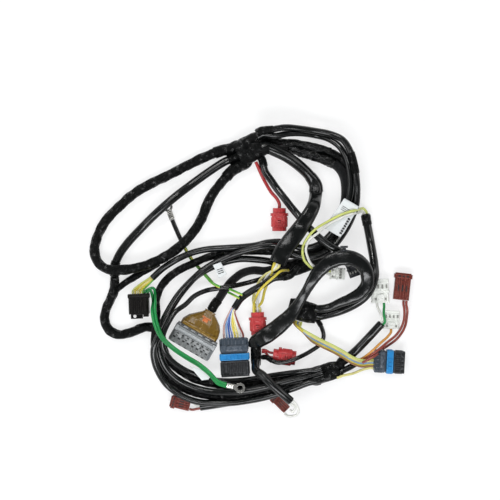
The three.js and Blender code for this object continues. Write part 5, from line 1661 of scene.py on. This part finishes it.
def small_details(palette: Palette) -> None:
    """Adds the ribs of the smaller housings, boxes painted as the shade in their openings, and the crimps of
    the ring terminals.
    """
    made = palette.made
    relay = Detail("relay_detail", "relay", made["relay_black"], Slot.BLACK, chamfer=0.3)
    relay.row(5, 3.6, (4.6, 18.6, -0.45, 0.45, 16.8, 18.2))
    relay.boxes += [(0.6, 2.6, -10.6, 10.6, 15.0, 17.4), (18.4, 20.6, -8, 8, 4, 15)]
    relay.build()

    for name, length, width, height in (
        ("maroon_right", 27.0, 18.0, 10.0), ("maroon_lower", 20.0, 11.0, 8.5),
        ("maroon_left", 20.0, 13.0, 9.0),
    ):
        part = Detail(f"{name}_ribs", name, made["maroon"], Slot.MAROON, chamfer=0.2)
        half = width / 2
        part.row(4, width / 5.2, (1.2, length - 7, -0.5, 0.5, height - 1.1, height + 0.35))
        part.boxes += [
            (length - 5.0, length - 4.2, -half + 0.6, half - 0.6, height - 0.9, height + 0.3),
            (length - 2.4, length - 1.6, -half + 0.6, half - 0.6, height - 0.9, height + 0.3),
            (0.2, 1.3, -half + 1.4, half - 1.4, height - 1.6, height - 0.1),
        ]
        part.build()
        # Painted shade: dark boxes on the top stand for the shade in the openings.
        gaps = Detail(f"{name}_gaps", name, made["print_dark"], chamfer=0.05)
        gaps.row(3, width / 4.2, (length - 4.0, length - 2.6, -1.0, 1.0, height - 0.4, height + 0.12))
        gaps.row(3, width / 4.2, (length * 0.32, length * 0.55, -0.7, 0.7, height - 0.4, height + 0.1))
        gaps.build()

    for name, length, width, height in (
        ("white_upper", 24.0, 19.0, 11.0), ("white_lower", 18.0, 18.0, 11.0),
        ("white_inner", 15.0, 13.0, 9.0), ("black", 15.0, 13.0, 9.0),
    ):
        plastic = made["black_housing"] if name == "black" else made["nylon_white"]
        slot = Slot.BLACK if name == "black" else Slot.WHITE
        part = Detail(f"{name}_ribs", name, plastic, slot, chamfer=0.2)
        half = width / 2
        part.row(4, width / 4.6, (length * 0.53, length * 0.6, -1.2, 1.2, height - 1.4, height - 0.2))
        part.row(2, width * 0.72, (0.8, length * 0.4, -0.6, 0.6, height - 1.6, height - 0.1))
        part.boxes += [
            (length * 0.80, length * 0.86, -half + 0.9, half - 0.9, height - 1.6, height - 0.3),
            (length * 0.06, length * 0.2, -width * 0.12, width * 0.12, height - 0.3, height + 0.4),
            (length * 0.3, length * 0.36, -width * 0.16, width * 0.16, height - 0.3, height + 0.5),
        ]
        part.build()
        # Painted shade: grey boxes stand for the shade in the openings.
        gaps = Detail(f"{name}_gaps", name, made["shade_grey"], chamfer=0.05)
        gaps.row(4, width / 4.6, (length * 0.62, length * 0.76, -0.8, 0.8, height - 0.6, height + 0.1))
        gaps.row(2, width * 0.5, (length * 0.12, length * 0.2, -1.0, 1.0, height - 0.6, height + 0.1))
        gaps.build()

    for name in ("red_upper", "red_middle", "red_lower"):
        part = Detail(f"{name}_ribs", name, made["red_housing"], Slot.RED, chamfer=0.25)
        part.row(2, 8.6, (8.4, 18.0, -0.6, 0.6, 11.2, 12.9))
        part.boxes += [(13.2, 14.2, -3.0, 3.0, 13.2, 14.0), (8.6, 9.6, -2.6, 2.6, 13.2, 14.2)]
        part.pair((9.0, 18.5, -8.3, -7.2, 5.6, 7.9))
        part.build()

    for name in ("ring_upper", "ring_lower"):
        part = Detail(f"{name}_crimp", name, palette.metal(), Slot.METAL, chamfer=0.12)
        part.boxes += [(1.4, 2.0, -1.7, 1.7, 4.9, 5.8), (4.0, 6.2, -0.25, 0.25, 5.0, 5.85)]
        part.build()


def connector_details(palette: Palette) -> None:
    """Adds the detail of every connector and terminal."""
    Banded("front", 6, 28, 16, 14.5).build(palette)
    Banded("side", 4, 22, 11, 11.5).build(palette)
    unit_details(palette)
    small_details(palette)


# Tape joints, tape ends, and small pieces


def build_joint(
    name: str, length: float, width: float, height: float, palette: Palette, rng: np.random.Generator
) -> None:
    """Builds a tape joint: a lumpy bundle bound round, which tapers on to its cords.

    Args:
        name: The joint's CAD node and pose.
        length: Its length in millimetres.
        width: Its width.
        height: Its height.
        palette: The materials.
        rng: The random numbers for its lumps.
    """
    place = POSES[name].matrix()
    reach = length / 2 + 5
    stations = np.arange(-reach, reach + 0.4, 0.8)
    middle = [place @ Vector((x * MM, 0, height / 2 * MM)) for x in stations]
    line = Line(np.array([list(p) for p in middle]))
    angle = ring_angles(JOINT_SIDES)
    far = np.abs(stations) / reach
    high = height / 2 * MM * (0.97 - 0.42 * far**2.5)
    wide = width / 2 * MM * (0.96 - 0.14 * far**3)
    lumps = 1 + 0.03 * ripple(line.along, angle, 7, 0.009, rng)
    lumps += 0.014 * ripple(line.along, angle, 6, 0.003, rng)
    radius = np.minimum(high, wide)[:, None] * (lumps + 0.02 * laps(line.along, angle, TAPE_TURNS))
    flat = np.maximum(wide - high, 0.0)
    mesh = tube_mesh(f"{name}_wrap", line, radius, flat)
    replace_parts(show(mesh.name, mesh, palette.tape()), name)


def tape_band(name: str, line: Line, radius: float, palette: Palette, rng: np.random.Generator) -> None:
    """Winds a short piece of tape round a cord.

    Args:
        name: The piece's name.
        line: The stretch of the cord that it covers.
        radius: The cord's radius in millimetres.
        palette: The materials.
        rng: The random numbers for its lumps.
    """
    angle = ring_angles(BAND_SIDES)
    lumps = 1.04 + 0.015 * ripple(line.along, angle, 6, 0.004, rng)
    lumps += 0.04 * laps(line.along, angle, BAND_TURNS)
    show(name, tube_mesh(name, line, (radius + 0.25) * MM * lumps), palette.tape())


def joint_tail(name: str, line: Line, at_end: bool, joint: str, radius: float, palette: Palette) -> None:
    """Winds tape from a cord's end into the middle of its joint.

    Args:
        name: The piece's name.
        line: The cord's middle line.
        at_end: Whether it is the cord's end, or its start.
        joint: The joint's pose.
        radius: The cord's radius in millimetres.
        palette: The materials.
    """
    points = line.points[::-1] if at_end else line.points
    before = points[line.along < TAIL_HOLD][-1]
    middle = np.array(POSES[joint].matrix().translation)
    middle[2] = points[0][2]
    tail = Line(smooth_curve(np.array([before, points[0], middle]), BAND_STEP))
    lap = laps(tail.along, ring_angles(BAND_SIDES), BAND_TURNS)
    slim = 1.0 - 0.35 * (tail.along / tail.length) ** 2
    around = (radius + 0.3) * MM * slim[:, None] * (1.02 + 0.04 * lap)
    show(name, tube_mesh(name, tail, around), palette.tape())


def build_label(name: str, corners: Sequence[Point], height: float, curl: float, palette: Palette) -> Matrix:
    """Builds a label as a thin curved sheet.

    Args:
        name: The piece's name.
        corners: Its corners on the board, in turn.
        height: The height of its middle in metres.
        curl: How much it bulges in metres.
        palette: The materials.

    Returns:
        The frame of its face, X along the first side.
    """
    a, b, c, d = on_table(corners)
    built = bmesh.new()
    count = 18
    grid = []
    for i in range(count + 1):
        row = []
        for j in range(count + 1):
            u, v = i / count, j / count
            at = (1 - u) * (1 - v) * a + u * (1 - v) * b + u * v * c + (1 - u) * v * d
            rise = curl * (4 * u * (1 - u)) + 0.3 * curl * math.sin(3.1 * v + 1.7 * u)
            row.append(built.verts.new((at[0], at[1], height + rise)))
        grid.append(row)
    for i in range(count):
        for j in range(count):
            built.faces.new((grid[i][j], grid[i + 1][j], grid[i + 1][j + 1], grid[i][j + 1]))
    bmesh.ops.recalc_face_normals(built, faces=built.faces)
    mesh = bpy.data.meshes.new(name)
    built.to_mesh(mesh)
    built.free()
    piece = show(name, mesh, palette.paper(), sharp=SHEET_EDGES)
    thick = piece.modifiers.new("thickness", "SOLIDIFY")
    thick.thickness = LABEL_THICKNESS
    side = b - a
    middle = (a + b + c + d) / 4
    return placed((middle[0], middle[1], height + curl), math.atan2(side[1], side[0]))


# Studio


def seen_rays(graph: Graph) -> bpy.types.NodeSocket:
    """Gives 1 for the rays that show the background, straight, mirrored or through glass."""
    path = graph.add("LightPath").outputs
    mirrored = graph.math("MAXIMUM", path["Is Glossy Ray"], path["Is Transmission Ray"])
    return graph.math("MAXIMUM", path["Is Camera Ray"], mirrored)


def add_camera(scene: bpy.types.Scene) -> None:
    """Adds the camera, straight above the middle of the photo."""
    centre = on_table([PHOTO_CENTRE])[0]
    camera_data = bpy.data.cameras.new("camera")
    camera_data.lens = LENS
    camera_data.sensor_width = SENSOR
    camera = bpy.data.objects.new("camera", camera_data)
    camera.location = (centre[0], centre[1], PHOTO_SPAN / SENSOR * LENS + FOCUS_HEIGHT)
    scene.collection.objects.link(camera)
    scene.camera = camera


def add_lights(scene: bpy.types.Scene) -> None:
    """Adds the soft lamps, all turned towards the harness."""
    for name, place, size, power, warmth in (
        ("key", (-0.40, 0.85, 1.0), (0.5, 0.14), 4.4, (1.0, 0.99, 0.97)),
        ("fill", (-0.05, -0.80, 1.15), (1.1, 0.42), 11.8, (0.97, 0.98, 1.0)),
        ("glint", (-0.04, 0.40, 1.45), (0.9, 0.11), 3.4, (1.0, 1.0, 1.0)),
        ("left", (-1.15, -0.05, 0.7), (0.5, 0.7), 2.4, (0.98, 0.99, 1.0)),
        ("right", (1.1, 0.35, 0.75), (0.5, 0.7), 2.2, (1.0, 0.99, 0.98)),
    ):
        light_data = bpy.data.lights.new(name, "AREA")
        light_data.shape = "RECTANGLE"
        light_data.size, light_data.size_y = size
        light_data.energy = power
        light_data.color = warmth
        light = bpy.data.objects.new(name, light_data)
        light.location = place
        light.rotation_mode = "QUATERNION"
        light.rotation_quaternion = (Vector((0, 0, 0.02)) - Vector(place)).to_track_quat("-Z", "Y")
        scene.collection.objects.link(light)


def add_world(scene: bpy.types.Scene) -> None:
    """Adds the pale surroundings, which are brighter where a glossy face mirrors them."""
    world = bpy.data.worlds.new("studio")
    scene.world = world
    world.use_nodes = True
    g = Graph(world.node_tree)
    world.node_tree.nodes.clear()
    height = g.add("SeparateXYZ", {0: g.add("TexCoord").outputs["Generated"]}).outputs[2]
    shade = g.remap(height, 0.1, 0.6, 1.0, 0.1)
    seen = g.add("Background", {"Color": (1.0, 1.0, 1.0, 1.0), "Strength": shade})
    lit = g.add("Background", {"Color": (0.94, 0.97, 1.0, 1.0), "Strength": 0.4})
    both = g.add("MixShader", {0: seen_rays(g), 1: lit.outputs[0], 2: seen.outputs[0]})
    g.add("OutputWorld", {0: both.outputs[0]})


def add_floor() -> None:
    """Adds the pale floor."""
    bpy.ops.mesh.primitive_plane_add(size=12)
    floor = bpy.context.object
    floor.name = "floor"
    material = bpy.data.materials.new("floor_white")
    material.use_nodes = True
    g = Graph(material.node_tree)
    shader = material.node_tree.nodes["Principled BSDF"]
    place = g.add("TexCoord").outputs["Object"]
    tone = g.mix(g.noise(place, 2.0, 3.0), (0.97, 0.97, 0.97, 1.0), (0.98, 0.98, 0.98, 1.0))
    for name, value in (("Base Color", tone), ("Roughness", 0.9), ("Specular IOR Level", 0.1)):
        g.put(shader.inputs[name], value)
    white = g.add("Emission", {"Color": (1.0, 1.0, 1.0, 1.0), "Strength": 1.0})
    share = g.times(seen_rays(g), 0.66)
    both = g.add("MixShader", {0: share, 1: shader.outputs[0], 2: white.outputs[0]})
    g.tree.links.new(both.outputs[0], material.node_tree.nodes["Material Output"].inputs["Surface"])
    floor.data.materials.append(material)


def build_studio() -> None:
    """Makes the camera, the lights and the pale floor."""
    scene = bpy.context.scene
    scene.view_settings.view_transform = "Standard"
    add_camera(scene)
    add_lights(scene)
    add_world(scene)
    add_floor()
    log.info("studio ready")


def build_sheets(frame: dict, palette: Palette) -> Felt:
    """Lays the label, the marker plate and the small tag on the looms, under the single wires.

    Args:
        frame: The loaded frame.
        palette: The materials.

    Returns:
        The sheets, for the wires that cross them.
    """
    nodes = frame["nodes"].items()
    looms_only = Felt.of([node for name, node in nodes if not name.endswith("_leads")])
    sheets = []
    for name, corners, curl in (
        ("label_flag", [(343.5, 198.5), (358, 207), (340.5, 238), (323, 228)], 0.0008),
        ("wire_marker", [(190, 366), (203, 369), (214, 378), (202, 380)], 0.0004),
        ("loom_tag", [(213, 265), (221, 262), (227, 274), (219, 278)], 0.0005),
    ):
        middle = np.mean(corners, axis=0)
        inside = [middle, *(middle + 0.6 * (np.array(c) - middle) for c in corners)]
        level = max(looms_only.top(*on_table([p])[0], 0.004) for p in inside)
        face = build_label(name, corners, level + 0.0005, curl, palette)
        sheets.append(bpy.data.objects[name])
        if name != "wire_marker":
            bars = Detail(f"{name}_bars", None, palette.made["print_dark"], chamfer=0.02)
            if name == "label_flag":
                bars.boxes += [(5.4, 7.9, y, y + 1.7, 0.12, 0.3) for y in np.arange(-15.0, 2.0, 2.7)]
                bars.boxes += [(-5.5, 3.0, y, y + 0.5, 0.12, 0.25) for y in (6.5, 8.2, 9.9)]
            else:
                bars.boxes += [(-3.0, 3.0, y, y + 0.7, 0.12, 0.3) for y in (-3.6, -1.6, 0.4)]
            bars.build(face)
    return Felt.of(sheets)


def build_small_pieces(lines: dict[str, Line], palette: Palette, rng: np.random.Generator) -> None:
    """Adds the tape ends, the joints' tape tails, the two sleeves and the loose crumpled tape.

    Args:
        lines: The looms' middle lines by CAD node.
        palette: The materials.
        rng: The random numbers for the lumps.
    """
    for name, node, start, end, radius in (
        ("riser_tape_end", "right_riser", -0.012, -0.001, 4.3),
        ("trunk_tape_start", "outer_trunk", 0.001, 0.026, 5.2),
        ("trunk_tape_return", "outer_trunk", -0.026, -0.001, 5.2),
        ("inner_tape_start", "inner_sheath", 0.001, 0.016, 4.3),
        ("inner_tape_end", "inner_sheath", -0.016, -0.001, 4.3),
        ("long_tape_start", "long_sheath", 0.001, 0.018, 3.3),
        ("long_tape_corner", "long_sheath", 0.105, 0.128, 3.3),
        ("unit_tape_end", "unit_loom", -0.014, -0.001, 4.3),
        ("braid_tape_start", "trunk_braid", 0.001, 0.020, 5.2),
        ("lower_tape_end", "lower_open_sheath", -0.030, -0.004, 4.3),
        ("cross_tape_start", "cross_sheath", 0.001, 0.020, 4.3),
        ("lead_tape_start", "small_lead", 0.001, 0.014, 2.2),
        ("lead_tape_end", "small_lead", -0.014, -0.001, 2.2),
    ):
        tape_band(name, lines[node].part(start, end), radius, palette, rng)

    for name, node, at_end, joint, radius in (
        ("trunk_start_tail", "outer_trunk", False, "top_joint", 5.0),
        ("trunk_return_tail", "outer_trunk", True, "top_joint", 5.0),
        ("diagonal_tail", "diagonal_sheath", False, "top_joint", 3.8),
        ("upper_tail", "upper_loom", False, "top_joint", 5.4),
        ("front_tail", "front_sheath", False, "branch_joint", 3.5),
    ):
        joint_tail(name, lines[node], at_end, joint, radius, palette)

    before = lines["upper_loom"].part(-0.009, -0.003).points
    after = lines["wide_sheath"].part(0.003, 0.011).points
    bend = Line(smooth_curve(np.vstack([before[[0, -1]], after[[0, -1]]]), BAND_STEP))
    along = bend.along / bend.length
    around = np.repeat((6.0 - 1.1 * along)[:, None], BAND_SIDES, axis=1) * MM
    mesh = tube_mesh("bend_sleeve", bend, around, 2.3 * along * MM)
    show(mesh.name, mesh, palette.sheath())

    sleeve = lines["ring_lead_upper"].part(0.0, 0.026)
    mesh = tube_mesh("ring_sleeve", sleeve, np.full((len(sleeve.points), 24), 2.25 * MM))
    show(mesh.name, mesh, palette.sheath())

    for name, node, start, end, radius in (
        ("braid_crumple", "trunk_braid", 0.028, 0.078, 5.3),
        ("tape_crumple", "taped_sheath", 0.030, 0.074, 4.1),
        ("upper_crumple", "taped_sheath", 0.155, 0.185, 4.1),
    ):
        line = lines[node].part(start, end)
        angle = ring_angles(CRUMPLE_SIDES)
        folds = 0.05 * ripple(line.along, angle, 9, 0.003, rng)
        folds += 0.07 * ripple(line.along, angle, 7, 0.012, rng)
        mesh = tube_mesh(name, line, radius * MM * (1.05 + folds))
        show(name, mesh, palette.tape(loose=True))


def build_clip(line: Line, share: float, palette: Palette) -> None:
    """Builds the head of a fastening clip on the outer edge of the flat loop.

    Args:
        line: The loop's middle line.
        share: How far along the loop it sits, from 0 to 1.
        palette: The materials.
    """
    index = round(share * (len(line.points) - 1))
    across, _ = line.frames()
    ahead = line.points[index + 1] - line.points[index - 1]
    edge = line.points[index] + across[index] * 7.2 * MM
    clip = Detail("loop_clip", None, palette.made["black_housing"], Slot.BLACK, chamfer=0.3)
    clip.boxes += [
        (-3.2, 3.2, -1.4, 0.6, -3.2, 3.0), (-1.8, 1.8, 0.4, 2.6, -1.6, 1.6),
        (-3.6, 3.6, 2.2, 4.4, -2.4, 2.4),
    ]
    clip.build(placed(edge, math.atan2(ahead[1], ahead[0])))


def main() -> None:
    """Builds the scene."""
    logging.basicConfig(level=logging.INFO, format="%(message)s")
    rng = np.random.default_rng(SEED)
    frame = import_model()
    build_studio()
    palette = Palette()
    dress_nodes(frame, palette)

    lines: dict[str, Line] = {}
    for loom in looms():
        key = loom.name.removesuffix("_skin")
        lines[key] = loom.route(frame)
        tint = {"upper_red_lead": RED, "ring_lead_upper": EARTH}.get(key)
        if tint is not None:
            loom.material = tint.material(palette)
        loom.build(palette, rng)
    sheets = build_sheets(frame, palette)
    solid = ("connector", "terminal", "holder")
    nodes = frame["nodes"].items()
    pile = Felt.of([node for name, node in nodes if not any(word in name for word in solid)])
    for wire, tint in wires(lines, pile):
        wire.over = sheets
        wire.route(frame)
        wire.material = tint.material(palette)
        wire.build(palette, rng)

    for name, length, width, height in (
        ("top_joint", 20.0, 28.0, 17.0), ("centre_joint", 20.0, 22.0, 15.0),
        ("lower_joint", 15.0, 11.0, 12.0), ("right_joint", 12.0, 19.0, 13.0),
        ("branch_joint", 20.0, 18.0, 14.0),
    ):
        build_joint(name, length, width, height, palette, rng)
    connector_details(palette)
    build_small_pieces(lines, palette, rng)
    build_clip(lines["flat_loop"], 0.56, palette)


if __name__ == "__main__":
    main()
